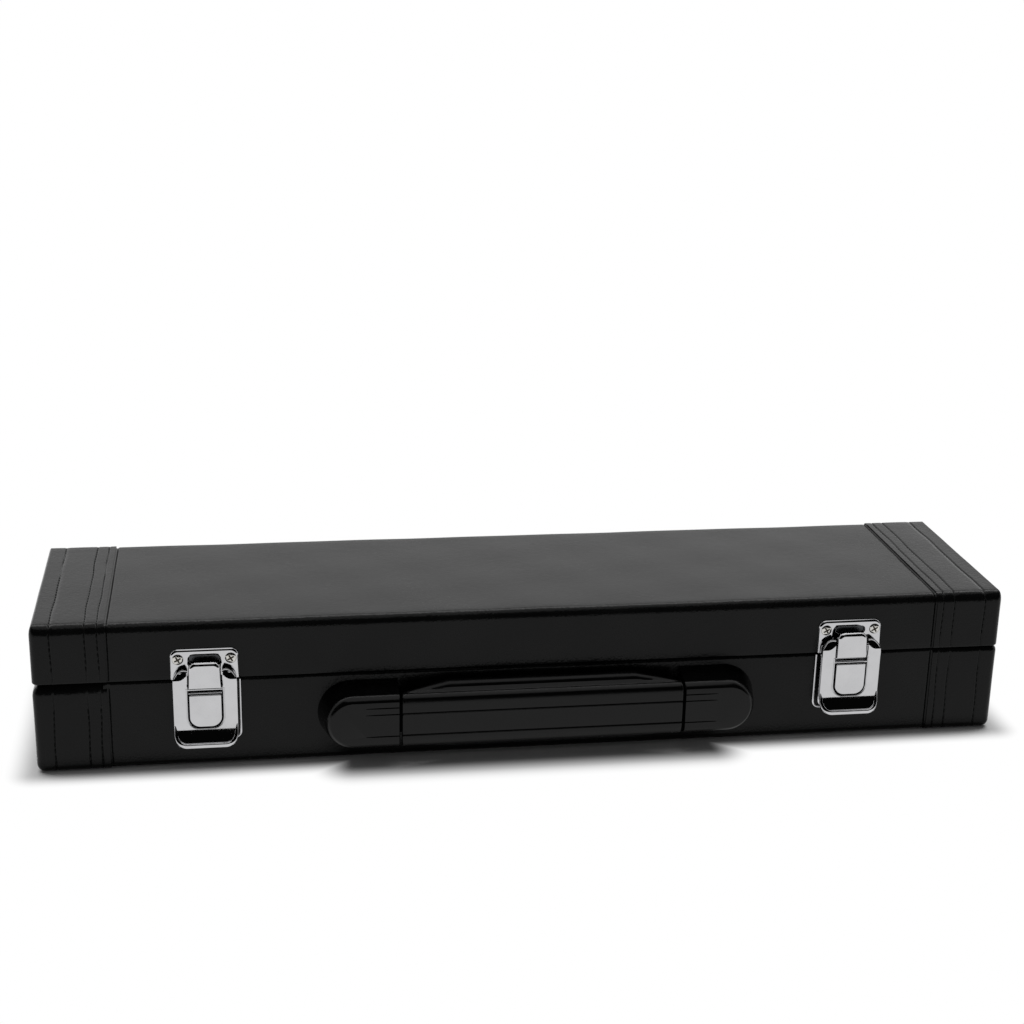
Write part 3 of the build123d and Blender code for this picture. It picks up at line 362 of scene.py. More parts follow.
def thicken(piece: bpy.types.Object, thickness: float, bevel: float = 0.0) -> None:
    """Gives a sheet its thickness, inwards, and rounds its edges; both are applied to the mesh.

    Args:
        piece: The sheet.
        thickness: Its thickness in millimetres.
        bevel: Width of the rounding in millimetres; 0 leaves the edges square.
    """
    solidify = piece.modifiers.new("thickness", "SOLIDIFY")
    solidify.thickness = thickness * MM
    solidify.offset = -1.0
    solidify.use_even_offset = True
    if bevel:
        rounding = piece.modifiers.new("rounding", "BEVEL")
        rounding.width = bevel * MM
        rounding.segments = 3
        rounding.limit_method = "ANGLE"
        rounding.angle_limit = math.radians(SHARP_EDGE)
    apply_modifiers(piece)
    smooth(piece, SHARP_EDGE)


def apply_modifiers(piece: bpy.types.Object) -> None:
    """Replaces a piece's mesh by the one that its modifiers give."""
    bpy.context.view_layer.update()
    graph = bpy.context.evaluated_depsgraph_get()
    piece.data = bpy.data.meshes.new_from_object(piece.evaluated_get(graph))
    piece.modifiers.clear()


def report(piece: bpy.types.Object) -> None:
    """Logs a finished piece and its size."""
    size = [round(s / MM, 1) for s in piece.dimensions]
    log.info("%s: %d faces, %s mm", piece.name, len(piece.data.polygons), size)


def settle(piece: bpy.types.Object, body: str, slot: str, *nodes: str) -> None:
    """Rides a piece on its body, in place of the CAD nodes it stands for.

    Args:
        piece: The finished piece.
        body: The body that carries it.
        slot: Its material slot; not used.
        nodes: The CAD nodes that it replaces, if any.
    """
    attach(piece, body)
    if nodes:
        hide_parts(*nodes)
    report(piece)


def span(node: str) -> tuple[Array, Array]:
    """Lowest and highest corner of a CAD node, in millimetres."""
    low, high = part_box(node)
    return np.array(low) / MM, np.array(high) / MM


# ------------------------------------------------------------------ finishes
class Nodes:
    """The node tree of one material, with short calls to add and link nodes."""

    def __init__(self, name: str) -> None:
        """Starts a material with a Principled surface."""
        self.material = bpy.data.materials.new(name)
        self.material.use_nodes = True
        self.tree = self.material.node_tree
        self.tree.nodes.clear()
        self.surface = self.add("ShaderNodeBsdfPrincipled")
        output = self.add("ShaderNodeOutputMaterial")
        self.link(self.surface.outputs["BSDF"], output.inputs["Surface"])
        self.place = self.add("ShaderNodeTexCoord").outputs["Object"]

    def add(self, kind: str, **values: object) -> bpy.types.Node:
        """A new node with socket values or properties set by name."""
        node = self.tree.nodes.new(kind)
        for key, value in values.items():
            if key in node.inputs:
                node.inputs[key].default_value = value
            else:
                setattr(node, key, value)
        return node

    def link(self, source: bpy.types.NodeSocket, target: bpy.types.NodeSocket) -> None:
        """Joins an output to an input."""
        self.tree.links.new(source, target)

    def stretched(self, scale: tuple[float, float, float]) -> bpy.types.NodeSocket:
        """Object coordinates scaled along each axis."""
        mapping = self.add("ShaderNodeMapping", Scale=scale)
        self.link(self.place, mapping.inputs["Vector"])
        return mapping.outputs["Vector"]

    def noise(self, scale: float, detail: float = 2.0, roughness: float = 0.5,
              place: bpy.types.NodeSocket | None = None) -> bpy.types.NodeSocket:
        """Value of a noise pattern, scale in waves per metre."""
        node = self.add("ShaderNodeTexNoise", Scale=scale, Detail=detail, Roughness=roughness)
        self.link(place or self.place, node.inputs["Vector"])
        return node.outputs["Fac"]

    def cells(self, scale: float, softness: float) -> bpy.types.NodeSocket:
        """Distance of a pattern of softly joined cells, scale in cells per metre."""
        node = self.add("ShaderNodeTexVoronoi", feature="SMOOTH_F1", Scale=scale, Smoothness=softness)
        self.link(self.place, node.inputs["Vector"])
        return node.outputs["Distance"]

    def ramp(self, value: bpy.types.NodeSocket, low: float, high: float, start: float = 0.0,
             end: float = 1.0) -> bpy.types.NodeSocket:
        """A value stretched from one range onto another and held at its ends."""
        node = self.add("ShaderNodeMapRange", interpolation_type="SMOOTHSTEP")
        for key, number in (("From Min", low), ("From Max", high), ("To Min", start), ("To Max", end)):
            node.inputs[key].default_value = number
        self.link(value, node.inputs["Value"])
        return node.outputs["Result"]

    def mix(self, share: bpy.types.NodeSocket, first: tuple[float, ...] | bpy.types.NodeSocket,
            second: tuple[float, ...]) -> bpy.types.NodeSocket:
        """A colour between two, by a share from 0 to 1."""
        node = self.add("ShaderNodeMix", data_type="RGBA")
        self.link(share, node.inputs[0])
        if isinstance(first, tuple):
            node.inputs[6].default_value = (*first, 1.0)
        else:
            self.link(first, node.inputs[6])
        node.inputs[7].default_value = (*second, 1.0)
        return node.outputs[2]

    def sum(self, first: bpy.types.NodeSocket, second: bpy.types.NodeSocket, weight: float) -> bpy.types.NodeSocket:
        """The first value plus a weight times the second."""
        node = self.add("ShaderNodeMath", operation="MULTIPLY_ADD")
        node.inputs[1].default_value = weight
        self.link(second, node.inputs[0])
        self.link(first, node.inputs[2])
        return node.outputs[0]

    def bump(self, height: bpy.types.NodeSocket, depth: float, strength: float = 1.0) -> None:
        """Adds relief to the surface, depth in millimetres, on top of what it has."""
        node = self.add("ShaderNodeBump", Strength=strength, Distance=depth * MM)
        self.link(height, node.inputs["Height"])
        normal = self.surface.inputs["Normal"]
        if normal.links:
            self.link(normal.links[0].from_socket, node.inputs["Normal"])
        self.link(node.outputs["Normal"], normal)

    def set(self, **values: object) -> None:
        """Sets the surface's own sockets; an underscore in a name stands for a space."""
        for key, value in values.items():
            self.surface.inputs[key.replace("_", " ")].default_value = value

    def drive(self, socket: str, value: bpy.types.NodeSocket) -> None:
        """Links a pattern to one of the surface's sockets."""
        self.link(value, self.surface.inputs[socket])


@dataclass(frozen=True)
class Leatherette:
    """Coated cloth with a fine pebble grain."""

    name: str
    colour: tuple[float, float, float] = (0.0030, 0.0031, 0.0031)
    worn: tuple[float, float, float] = (0.0044, 0.0045, 0.0045)
    cells_per_metre: float = 1050.0
    relief: float = 0.06
    gloss: float = 0.19
    shine: float = 0.130

    def build(self) -> bpy.types.Material:
        """Pebbles from smooth cells, fine noise between them, and wide soft changes of tone and gloss."""
        nodes = Nodes(self.name)
        pebbles = nodes.cells(self.cells_per_metre, 0.35)
        grit = nodes.noise(self.cells_per_metre * 2.4, 3.0, 0.6)
        drift = nodes.noise(38.0, 3.0)
        tone = nodes.mix(nodes.ramp(drift, 0.35, 0.7), self.colour, self.worn)
        nodes.drive("Base Color", nodes.mix(nodes.ramp(pebbles, 0.55, 0.95, 0.0, 0.35), tone, (0.002, 0.002, 0.002)))
        nodes.drive("Roughness", nodes.ramp(nodes.sum(grit, drift, 0.25), 0.4, 0.9, self.gloss, self.gloss + 0.09))
        nodes.set(Specular_IOR_Level=self.shine)
        nodes.bump(pebbles, -self.relief)
        nodes.bump(grit, self.relief * 0.45)
        nodes.bump(nodes.noise(240.0, 3.0, 0.6), 0.06)
        return nodes.material


@dataclass(frozen=True)
class Vinyl:
    """Smooth moulded or wrapped black plastic with a faint matt speckle."""

    name: str
    colour: tuple[float, float, float]
    gloss: float
    speckle: float = 900.0
    relief: float = 0.02
    shine: float = 0.19

    def build(self) -> bpy.types.Material:
        """A soft sheen broken by a fine speckle and slow changes of gloss."""
        nodes = Nodes(self.name)
        drift = nodes.noise(60.0, 2.0)
        speckle = nodes.noise(self.speckle, 3.0, 0.6)
        lighter = tuple(1.35 * c for c in self.colour)
        nodes.drive("Base Color", nodes.mix(nodes.ramp(drift, 0.3, 0.7), self.colour, lighter))
        nodes.drive("Roughness", nodes.ramp(nodes.sum(drift, speckle, 0.6), 0.5, 1.1, self.gloss, self.gloss + 0.08))
        nodes.set(Specular_IOR_Level=self.shine)
        nodes.bump(speckle, self.relief)
        return nodes.material


@dataclass(frozen=True)
class Plated:
    """Polished or brushed metal with faint smudges and hairlines."""

    name: str
    colour: tuple[float, float, float]
    gloss: float
    hairline: float = 0.003
    stretch: tuple[float, float, float] = (300.0, 300.0, 2500.0)
    smudge: float = 0.05

    def build(self) -> bpy.types.Material:
        """Gloss varies with smudges; long thin noise cuts the hairlines."""
        nodes = Nodes(self.name)
        smudges = nodes.noise(140.0, 3.0, 0.55)
        nodes.drive("Roughness", nodes.ramp(smudges, 0.35, 0.75, self.gloss, self.gloss + self.smudge))
        darker = tuple(0.93 * c for c in self.colour)
        nodes.drive("Base Color", nodes.mix(nodes.ramp(smudges, 0.3, 0.8), self.colour, darker))
        nodes.set(Metallic=1.0)
        nodes.bump(nodes.noise(1.0, 2.0, 0.5, nodes.stretched(self.stretch)), self.hairline)
        return nodes.material


@dataclass(frozen=True)
class ScrewHead:
    """Plated screw with painted shade, dark brown in its cross recess and in a ring at its rim; the mesh's own recess
    attribute says where.
    """

    name: str
    colour: tuple[float, float, float]
    # painted shade: the dark brown laid into the cross recess and into the ring where the head meets the plate
    painted_shade: tuple[float, float, float] = (0.055, 0.040, 0.024)

    def build(self) -> bpy.types.Material:
        """Metal outside the recess; inside it and at the rim, rough brown painted shade."""
        nodes = Nodes(self.name)
        recess = nodes.add("ShaderNodeAttribute", attribute_name="recess").outputs["Fac"]
        nodes.drive("Base Color", nodes.mix(recess, self.colour, self.painted_shade))
        nodes.drive("Roughness", nodes.ramp(recess, 0.0, 1.0, 0.16, 0.55))
        nodes.drive("Metallic", nodes.ramp(recess, 0.2, 1.0, 1.0, 0.25))
        nodes.bump(nodes.noise(1800.0, 2.0), 0.01)
        return nodes.material


@dataclass(frozen=True)
class Plush:
    """Short pile velvet."""

    name: str
    colour: tuple[float, float, float] = (0.010, 0.012, 0.028)
    tips: tuple[float, float, float] = (0.030, 0.034, 0.062)

    def build(self) -> bpy.types.Material:
        """Pile from fine noise, brushed patches from slow noise, and a sheen at the edges."""
        nodes = Nodes(self.name)
        pile = nodes.noise(2600.0, 3.0, 0.65)
        brushed = nodes.noise(55.0, 3.0)
        share = nodes.ramp(nodes.sum(brushed, pile, 0.8), 0.6, 1.15)
        nodes.drive("Base Color", nodes.mix(share, self.colour, self.tips))
        nodes.set(Roughness=0.95, Sheen_Weight=0.7, Sheen_Roughness=0.4, Specular_IOR_Level=0.15)
        nodes.surface.inputs["Sheen Tint"].default_value = (0.55, 0.6, 0.85, 1.0)
        nodes.bump(pile, 0.30)
        nodes.bump(brushed, 0.5, 0.5)
        return nodes.material


@dataclass(frozen=True)
class Plywood:
    """Thin raw plywood."""

    name: str
    light: tuple[float, float, float] = (0.56, 0.40, 0.24)
    dark: tuple[float, float, float] = (0.36, 0.23, 0.12)

    def build(self) -> bpy.types.Material:
        """Long grain along the case from stretched noise."""
        nodes = Nodes(self.name)
        grain = nodes.noise(1.0, 5.0, 0.6, nodes.stretched((14.0, 260.0, 260.0)))
        nodes.drive("Base Color", nodes.mix(nodes.ramp(grain, 0.35, 0.7), self.light, self.dark))
        nodes.set(Roughness=0.75)
        nodes.bump(grain, 0.15)
        return nodes.material


class Finish(Enum):
    """Every finish on the case."""

    COVER = Leatherette("fine_leatherette")
    BAND = Leatherette("band_leatherette", (0.0028, 0.0029, 0.0029), (0.0041, 0.0042, 0.0042), 850.0, 0.05, 0.18)
    THREAD = Vinyl("waxed_thread", (0.0015, 0.0015, 0.0015), 0.5, 2500.0, 0.05)
    SEAT = Vinyl("moulded_seat", (0.0012, 0.0012, 0.0012), 0.17)
    GRIP = Vinyl("wrapped_vinyl", (0.0013, 0.0013, 0.0013), 0.19, 1300.0, 0.025)
    PLUSH = Plush("blue_black_plush")
    CHROME = Plated("bright_chrome", (0.53, 0.53, 0.54), 0.045)
    HINGE = Plated("nickel_hinge", (0.60, 0.59, 0.57), 0.12, 0.004, (2500.0, 300.0, 300.0), 0.12)
    # painted shade: near-black and all but shineless, so the strips in the handle's gaps, the grip's core and the
    # plate behind the latch window read as shade
    SHADE_BLACK = Vinyl("shade_black_strip", (0.0015, 0.0015, 0.0018), 0.70, 700.0, 0.01, 0.03)
    # painted shade: dark plate in the strike's slot, standing for the shade inside it
    SLOT_SHADE = Plated("slot_shade_steel", (0.055, 0.057, 0.060), 0.22, 0.02, (700.0, 200.0, 700.0), 0.15)
    ZINC = Plated("zinc_screw", (0.48, 0.48, 0.50), 0.28, 0.01, (900.0, 900.0, 900.0), 0.15)
    SCREW = ScrewHead("cross_screw", (0.56, 0.55, 0.52))
    WOOD = Plywood("plywood")


PALETTE: dict[Finish, bpy.types.Material] = {}


def material(finish: Finish) -> bpy.types.Material:
    """The finish's material, built once."""
    if finish not in PALETTE:
        PALETTE[finish] = finish.value.build()
    return PALETTE[finish]


# ------------------------------------------------------------------ covered halves
@dataclass
class CoveredHalf:
    """The leatherette of the lid or of the base: a skin between two stitched end bands."""

    name: str
    up: int
    corner: float = 3.2
    edge: float = 5.0
    edge_inset: float = 4.6
    end_inset: float = 0.4
    rim_round: float = 0.5
    band_rim_rounds: tuple[float, float] = (0.9, 0.9)
    turn_in: float = 2.2
    flange_gap: float = 0.08
    inner_play: float = 0.25
    skin_depth: float = 0.55
    skin_under_band: float = 1.5
    seams: tuple[float, ...] = (3.0, 8.2, 22.2)
    seam_half: float = 0.6
    seam_depth: float = 0.38
    groove_depth: float = 0.5
    groove_place: float = 0.55
    seam_puff: float = 0.05
    stitch_pitch: float = 2.9
    stitch_length: float = 2.5
    stitch_radius: float = 0.13
    stitch_sunk: float = 0.12

    def __post_init__(self) -> None:
        """Reads the half's planes from the frame."""
        band_low, band_high = span(f"{self.name}_band_right")
        cover_low, cover_high = span(f"{self.name}_cover")
        inner_low, inner_high = span(f"{self.name}_wall_right")
        self.band_x = band_low[0]
        self.half_length = band_high[0]
        self.band_y = band_high[1]
        self.cover_y = cover_high[1]
        self.rim = band_low[2] if self.up > 0 else band_high[2]
        self.face = band_high[2] if self.up > 0 else band_low[2]
        self.cover_face = cover_high[2] if self.up > 0 else cover_low[2]
        self.inner_x = inner_low[0]
        self.inner_y = inner_high[1]

    def wall_profile(self, half_width: float, face: float, rim_round: float, less: float = 0.0) -> tuple[Array, ...]:
        """Section from the inside of the rim, over it, up the wall and around the edge onto the face.

        Args:
            half_width: Distance of the wall from the middle.
            face: Height of the face.
            rim_round: Radius at the rim.
            less: How much smaller than the band's the rounding at the face is.

        Returns:
            Inset from the wall, height, slope of the outward direction (0 level, 1 towards the face), and a weight
            that is 1 where swellings and seams show.
        """
        wrap = half_width - (self.inner_y - self.inner_play)
        rim = self.rim - self.up * self.flange_gap
        turn = quarter(6)
        edge, back = self.edge - less, self.edge_inset - less
        wall = np.linspace(rim + self.up * rim_round, face - self.up * edge, 8)[1:-1]
        inwards, upwards = edge_curve(14)
        inset = np.concatenate([
            [wrap, wrap, wrap - 0.15], rim_round * (1 - np.sin(turn)), np.zeros(6), back * inwards,
        ])
        height = np.concatenate([
            [rim + self.up * self.turn_in, rim + self.up * 0.3, rim],
            rim + self.up * rim_round * (1 - np.cos(turn)), wall, face - self.up * edge * (1 - upwards),
        ])
        slope = np.concatenate([np.zeros(15), quarter(14)]) / (math.pi / 2)
        weight = np.concatenate([np.zeros(3), np.linspace(0, 1, 6), np.ones(20)])
        return inset, height, slope, weight

    def swell(self, x: Array, y: Array) -> Array:
        """Slight unevenness of glued leatherette: a sum of three long waves, 0.1 mm high."""
        phase = 1.3 * self.up
        return (0.05 * np.sin(x / 13.7 + phase) + 0.035 * np.sin(x / 7.1 + y / 9.0 + 2.1 * phase)
                + 0.03 * np.sin(y / 5.3 - x / 23.0))

    def skin(self) -> Patch:
        """Section swept along the case between the bands, mirrored to the back, with a groove beside each band."""
        inset, height, slope, weight = self.wall_profile(self.cover_y, self.cover_face, self.rim_round, 0.6)
        across = np.linspace(-1, 1, 27)[1:-1] * (self.cover_y - inset[-1])
        y = np.concatenate([inset - self.cover_y, across, (self.cover_y - inset)[::-1]])
        z = np.concatenate([height, np.full(len(across), self.cover_face), height[::-1]])
        tilt = np.concatenate([slope, np.ones(len(across)), slope[::-1]]) * math.pi / 2
        load = np.concatenate([weight, np.ones(len(across)), weight[::-1]])
        near = self.band_x + np.array([-2.0, -1.5, -1.1, -0.8, -0.5, -0.2, 0.2])
        x = np.unique(np.concatenate([np.linspace(-1, 1, 181) * (self.band_x + self.skin_under_band), near, -near]))
        path = path_length(y, z)
        groove = self.groove_depth * well(np.abs(np.abs(x) - self.band_x + self.groove_place))
        bulge = (self.swell(x[:, None], path[None, :]) - groove[:, None]) * load
        side = np.sign(y) * np.cos(tilt)
        points = np.stack([
            np.broadcast_to(x[:, None], bulge.shape),
            y + side * (bulge - 0.05),
            z + self.up * np.sin(tilt) * (bulge - 0.05),
        ], -1)
        return grid(points)

    def stations(self) -> Array:
        """Distances from the band's edge along the case, close together at each seam."""
        near = np.array([-1.5, -1.0, -0.7, -0.45, -0.2, 0, 0.2, 0.45, 0.7, 1.0, 1.5]) * self.seam_half
        spots = np.concatenate([seam + near for seam in self.seams])
        rest = np.array([0.0, 0.35, 1.2, 5.6, 11.0, 14.0, 17.0, 20.0, 24.0])
        reach = self.half_length - self.corner - self.band_x
        return np.unique(np.concatenate([spots, rest, [reach]]))

    def wander(self, path: Array, seam: float) -> Array:
        """How far a hand guided seam strays along the case: two slow waves, 0.25 mm."""
        return 0.17 * np.sin(path / 9.3 + seam) + 0.10 * np.sin(path / 4.1 + 2.3 * seam + self.up)

    def seam_depths(self, x: Array, path: Array) -> Array:
        """Depth of the sewn channels: a cosine well in a wide shallow bell on each seam."""
        depth = np.zeros(np.broadcast(x, path).shape)
        for seam in self.seams:
            away = np.abs(x - self.band_x - seam) / self.seam_half
            depth += self.seam_depth * well(away)
            depth += self.seam_puff * np.exp(-(away / 4) ** 2)
        return depth

    def band(self, side: int) -> Patch:
        """Walls of one band around the end, and its face, joined where they meet."""
        inset, height, slope, weight = self.wall_profile(self.band_y, self.face, self.band_rim_rounds[max(side, 0)])
        along = self.stations()
        turn = quarter(9)[1:]
        end = np.linspace(-1, 1, 21)[1:-1]
        radius = np.maximum(self.corner - inset, 0.35)[:, None]
        end_inset = inset * np.where(slope > 0, self.end_inset, 1.0)
        corner_x = self.half_length - end_inset[:, None] - radius
        corner_y = self.band_y - inset[:, None] - radius
        squeeze = (corner_x - self.band_x) / along[-1] - 1
        straight = self.band_x + along * (1 + squeeze * (along / along[-1]) ** 3)
        front = np.stack([straight, np.broadcast_to(-(corner_y + radius), straight.shape)], -1)
        front_out = np.broadcast_to([0.0, -1.0], front.shape)
        arc = np.stack([corner_x + radius * np.sin(turn), -(corner_y + radius * np.cos(turn))], -1)
        arc_out = np.broadcast_to(np.stack([np.sin(turn), -np.cos(turn)], -1), arc.shape)
        face = np.stack([np.broadcast_to(corner_x + radius, (len(inset), len(end))), corner_y * end], -1)
        face_out = np.broadcast_to([1.0, 0.0], face.shape)
        flip = np.array([1.0, -1.0])
        plan = np.concatenate([front, arc, face, arc[:, ::-1] * flip, front[:, ::-1] * flip], 1)
        out = np.concatenate([front_out, arc_out, face_out, arc_out[:, ::-1] * flip, front_out[:, ::-1] * flip], 1)
        steps = path_length(inset, height)[:, None]
        level = np.abs(out[..., 1]) > 0.999
        seam_x = np.where(level, plan[..., 0], self.half_length)
        push = (self.swell(plan[..., 0] * side, plan[..., 1] + steps) * 0.7 - 0.07
                - self.seam_depths(seam_x, steps)) * weight[:, None]
        drift = self.wander_field(plan[..., 0], steps + np.zeros_like(push), level)
        tilt = slope[:, None] * math.pi / 2
        walls = np.stack([
            plan[..., 0] + drift * weight[:, None] + out[..., 0] * np.cos(tilt) * push,
            plan[..., 1] + out[..., 1] * np.cos(tilt) * push,
            height[:, None] + self.up * np.sin(tilt) * push,
        ], -1)
        top = walls[-1]
        rows = len(along)
        share = np.linspace(0, 1, 27)[None, :, None]
        first, last = top[:rows, None, :], top[::-1][:rows, None, :]
        deck = first + (last - first) * share
        deck_path = steps[-1, 0] + np.abs(deck[..., 1] - deck[:, :1, 1])
        plain = straight[-1][:, None] + np.zeros_like(deck_path)
        fade = np.minimum(1, np.minimum(share[..., 0], 1 - share[..., 0]) * 12)
        deck[..., 0] += (self.wander_field(plain, deck_path, plain > 0) - deck[..., 0] + plain) * fade
        deck[..., 2] += self.up * self.swell(plain * side, deck[..., 1]) * 0.6 * fade
        cap = Patch(np.concatenate([top[rows - 1:len(top) - rows + 1], deck[-1, -2:0:-1]]), [])
        cap.faces = [tuple(range(len(cap.points)))]
        patch = joined(grid(walls), grid(deck), cap)
        patch.points = patch.points * np.array([side, 1.0, 1.0])
        return patch

    def wander_field(self, x: Array, path: Array, straight: Array) -> Array:
        """Drift along the case, carried by the seams and fading to nothing at the band's edge and its corner."""
        reach = self.half_length - self.corner - self.band_x
        along = np.clip((x - self.band_x) / reach, 0, 1)
        fade = np.clip(along * 12, 0, 1) * np.clip((1 - along) * 6, 0, 1)
        nearest = np.array(self.seams)[np.abs(x[..., None] - self.band_x - np.array(self.seams)).argmin(-1)]
        return self.wander(path, nearest) * fade * straight

    def stitches(self, side: int) -> Patch:
        """Short waxed stitches lying in the channels, over the front wall, the face and the back wall.

        Each stitch is a six sided bead: rings along it follow a half circle in radius and a shallow arch in height.
        """
        inset, height, _, _ = self.wall_profile(self.band_y, self.face, self.band_rim_rounds[max(side, 0)])
        climb = slice(9, None)
        y = np.concatenate([inset[climb] - self.band_y, (self.band_y - inset[climb])[::-1]])
        z = np.concatenate([height[climb], height[climb][::-1]])
        path = path_length(y, z)
        offset = path_length(inset, height)[climb.start]
        spots = np.arange(self.stitch_pitch, path[-1] - self.stitch_pitch, self.stitch_pitch)
        bead = np.linspace(-1, 1, 6)
        around = np.linspace(0, 2 * math.pi, 6, endpoint=False)
        pieces = []
        at = spots[:, None] + bead * self.stitch_length / 2
        ring = self.stitch_radius * np.sqrt(np.maximum(1 - (bead * 0.96) ** 2, 0.02))
        walk = offset + np.minimum(at, path[-1] - at)
        base_y, base_z = np.interp(at, path, y), np.interp(at, path, z)
        gap = 0.3
        run_y = np.interp(at + gap, path, y) - np.interp(at - gap, path, y)
        run_z = np.interp(at + gap, path, z) - np.interp(at - gap, path, z)
        length = np.hypot(run_y, run_z)
        out_y, out_z = -run_z / length * self.up, run_y / length * self.up
        lift = (-self.seam_depth - self.stitch_sunk + self.stitch_radius * 0.9 * (1 - bead ** 2)
                + self.stitch_radius * 0.5)
        sideways = ring[:, None] * np.cos(around)
        upwards = ring[:, None] * np.sin(around) + lift[:, None]
        for seam in self.seams:
            base_x = self.band_x + seam + self.wander(walk, seam) + 0.10 * bead
            points = np.stack([
                base_x[..., None] + sideways[None],
                base_y[..., None] + out_y[..., None] * upwards[None],
                base_z[..., None] + out_z[..., None] * upwards[None],
            ], -1)
            pieces += [tube(rings) for rings in points]
        patch = joined(*pieces)
        patch.points = patch.points * np.array([side, 1.0, 1.0])
        return patch

    def dress(self) -> None:
        """Builds the skin, the bands and their stitches."""
        middle = (0.0, 0.0, self.rim)
        skin = make_piece(f"{self.name}_skin", self.skin(), material(Finish.COVER), Closing.SHEET, middle)
        thicken(skin, self.skin_depth)
        settle(skin, self.name, "leatherette", f"{self.name}_cover")
        for label, side in SIDES.items():
            centre = (side * self.inner_x, 0.0, self.rim)
            band = make_piece(f"{self.name}_end_band_{label}", self.band(side), material(Finish.BAND),
                              Closing.SHEET, centre, 0.002)
            thicken(band, self.skin_depth)
            settle(band, self.name, "band_leatherette", f"{self.name}_band_{label}")
            thread = make_piece(f"{self.name}_stitches_{label}", self.stitches(side), material(Finish.THREAD))
            settle(thread, self.name, "band_leatherette")


# ------------------------------------------------------------------ draw latches
@dataclass
class DrawLatch:
    """Strike plate, base plate, lever and hasp of one latch; w is across, v up from the joint, u outwards."""

    label: str
    mounting: tuple[float, float] = (0.0, 0.0)
    strike_rim: float = 1.05
    strike_bead: float = 0.15
    strike_drop: float = 1.1
    strike_thick: float = 1.0
    strike_corner: float = 3.6
    strike_power: float = 1.45
    slot_half: tuple[float, float] = (6.4, 1.7)
    slot_height: float = 9.4
    slot_round: float = 0.5
    slot_floor_margin: float = 0.9
    screw_height: float = 9.6
    screw_reach: float = 10.9
    hasp_drop: float = 0.9
    hasp_corner: float = 3.2
    hasp_power: float = 1.5
    hasp_thick: float = 1.75
    knuckle_radius: float = 0.95
    hook_half: float = 4.6
    window_half: float = 7.3
    pad_window: float = 20.0
    pad_window_radius: float = 4.9
    lip_start: float = 17.0
    lip_bend: float = 15.3
    pad_half: float = 6.6
    pad_top: float = 4.9
    pad_bottom: float = 19.3
    pad_corner: float = 4.3
    channel_gap: float = 0.42
    channel_bead: float = 0.28
    bar_place: tuple[float, float] = (-4.35, 4.75)
    bar_radius: float = 0.36
    bar_half: float = 6.9
    backing_half: float = 8.8
    backing_foot: float = 21.6
    face_top: float = -0.9
    shoulder_top: float = 6.1
    slope_start: float = 1.75
    slope_end: float = 3.9
    slope_turn: float = 11.0
    shoulder_bead: float = 0.33
    slope_angle: float = 24.0
    foot_drop: float = 0.6
    corner: float = 5.2
    sheet: float = 0.7
    lip_angle: float = 36.0
    lip_bead: float = 1.0
    lip_bead_power: float = 3.4
    lip_bead_run: tuple[float, float] = (-18.6, -22.0)
    plate_short: float = -0.6
    plate_rim: float = 0.5
    plate_trim: float = 0.0
    sheet_bevel: float = 0.28
    screw_radius: float = 2.35
    screw_bar_half: float = 0.36
    screw_bar_reach: float = 1.55
    screw_recess: float = 0.55
    ears: tuple[float, float] = (7.2, -7.9)

    def __post_init__(self) -> None:
        """Reads the latch's place and sizes from the frame; the mounting shifts it by a given offset, in millimetres.
        """
        strike_low, strike_high = span(f"strike_plate_{self.label}")
        lever_low, lever_high = span(f"lever_{self.label}")
        hasp_low, hasp_high = span(f"hasp_{self.label}")
        plate_low, plate_high = span(f"latch_plate_{self.label}")
        joint = (span("lid_cover")[0][2] + span("base_cover")[1][2]) / 2
        self.x = (strike_low[0] + strike_high[0]) / 2 + self.mounting[0]
        self.wall = span("lid_cover")[0][1]
        self.split = joint + self.mounting[1]
        self.strike_half = (strike_high[0] - strike_low[0]) / 2
        self.strike_top = strike_high[2] - joint - self.strike_drop
        self.strike_foot = strike_low[2] - self.split
        self.plate_half = (plate_high[0] - plate_low[0]) / 2
        self.plate_foot = plate_low[2] - joint + self.plate_short
        self.plate_top = self.strike_foot - 0.6
        self.lever_half = (lever_high[0] - lever_low[0]) / 2
        self.lever_foot = lever_low[2] - joint - self.foot_drop
        self.hasp_half = (hasp_high[0] - hasp_low[0]) / 2
        self.hasp_top = hasp_high[2] - joint - self.hasp_drop
        self.hasp_face = self.wall - hasp_low[1]
        self.lever_face = self.hasp_face - 0.5
        self.front = facing_front(self.x, self.wall, self.split)
        self.section = seen_from_side(self.x, self.wall, self.split)

    def strike(self) -> Patch:
        """Plate whose edge is chamfered back to the lid, with a pill-shaped slot right through it.

        The chamfer is a superellipse in section that fades towards the joint; rings run from the plate's back over
        it and across the face to the slot's edge.
        """
        corners = box_corners(-self.strike_half, self.strike_foot, self.strike_half, self.strike_top)
        outline, outward = rounded_polygon(corners, [0.4, 0.4, self.strike_corner, self.strike_corner], 11)
        slot_w, slot_v = self.slot_half
        hole, _ = rounded_polygon(box_corners(-slot_w, self.slot_height - slot_v, slot_w, self.slot_height + slot_v),
                                  np.full(4, slot_v - 0.05), 11)
        raised = np.clip((outline[:, 1] - self.strike_foot) / 3.0, 0, 1)[:, None]
        face, soft = self.strike_thick + self.strike_bead, self.slot_round
        rows = [lifted(outline, 0.0)]
        rows += [lifted(outline - outward * (self.strike_rim * (0.35 + 0.65 * raised) * inwards),
                        0.1 + (face - 0.1) * upwards) for inwards, upwards in zip(*edge_curve(14, self.strike_power))]
        hole_out = hole - [0, self.slot_height]
        hole_out = hole_out / np.linalg.norm(hole_out, axis=1, keepdims=True)
        rows += [lifted(hole + hole_out * soft * (1 - math.sin(a)), face - soft * (1 - math.cos(a)))
                 for a in quarter(5)]
        rows += [lifted(hole, 0.0), rows[0]]
        return self.front.put(tube(np.stack(rows), False, False))

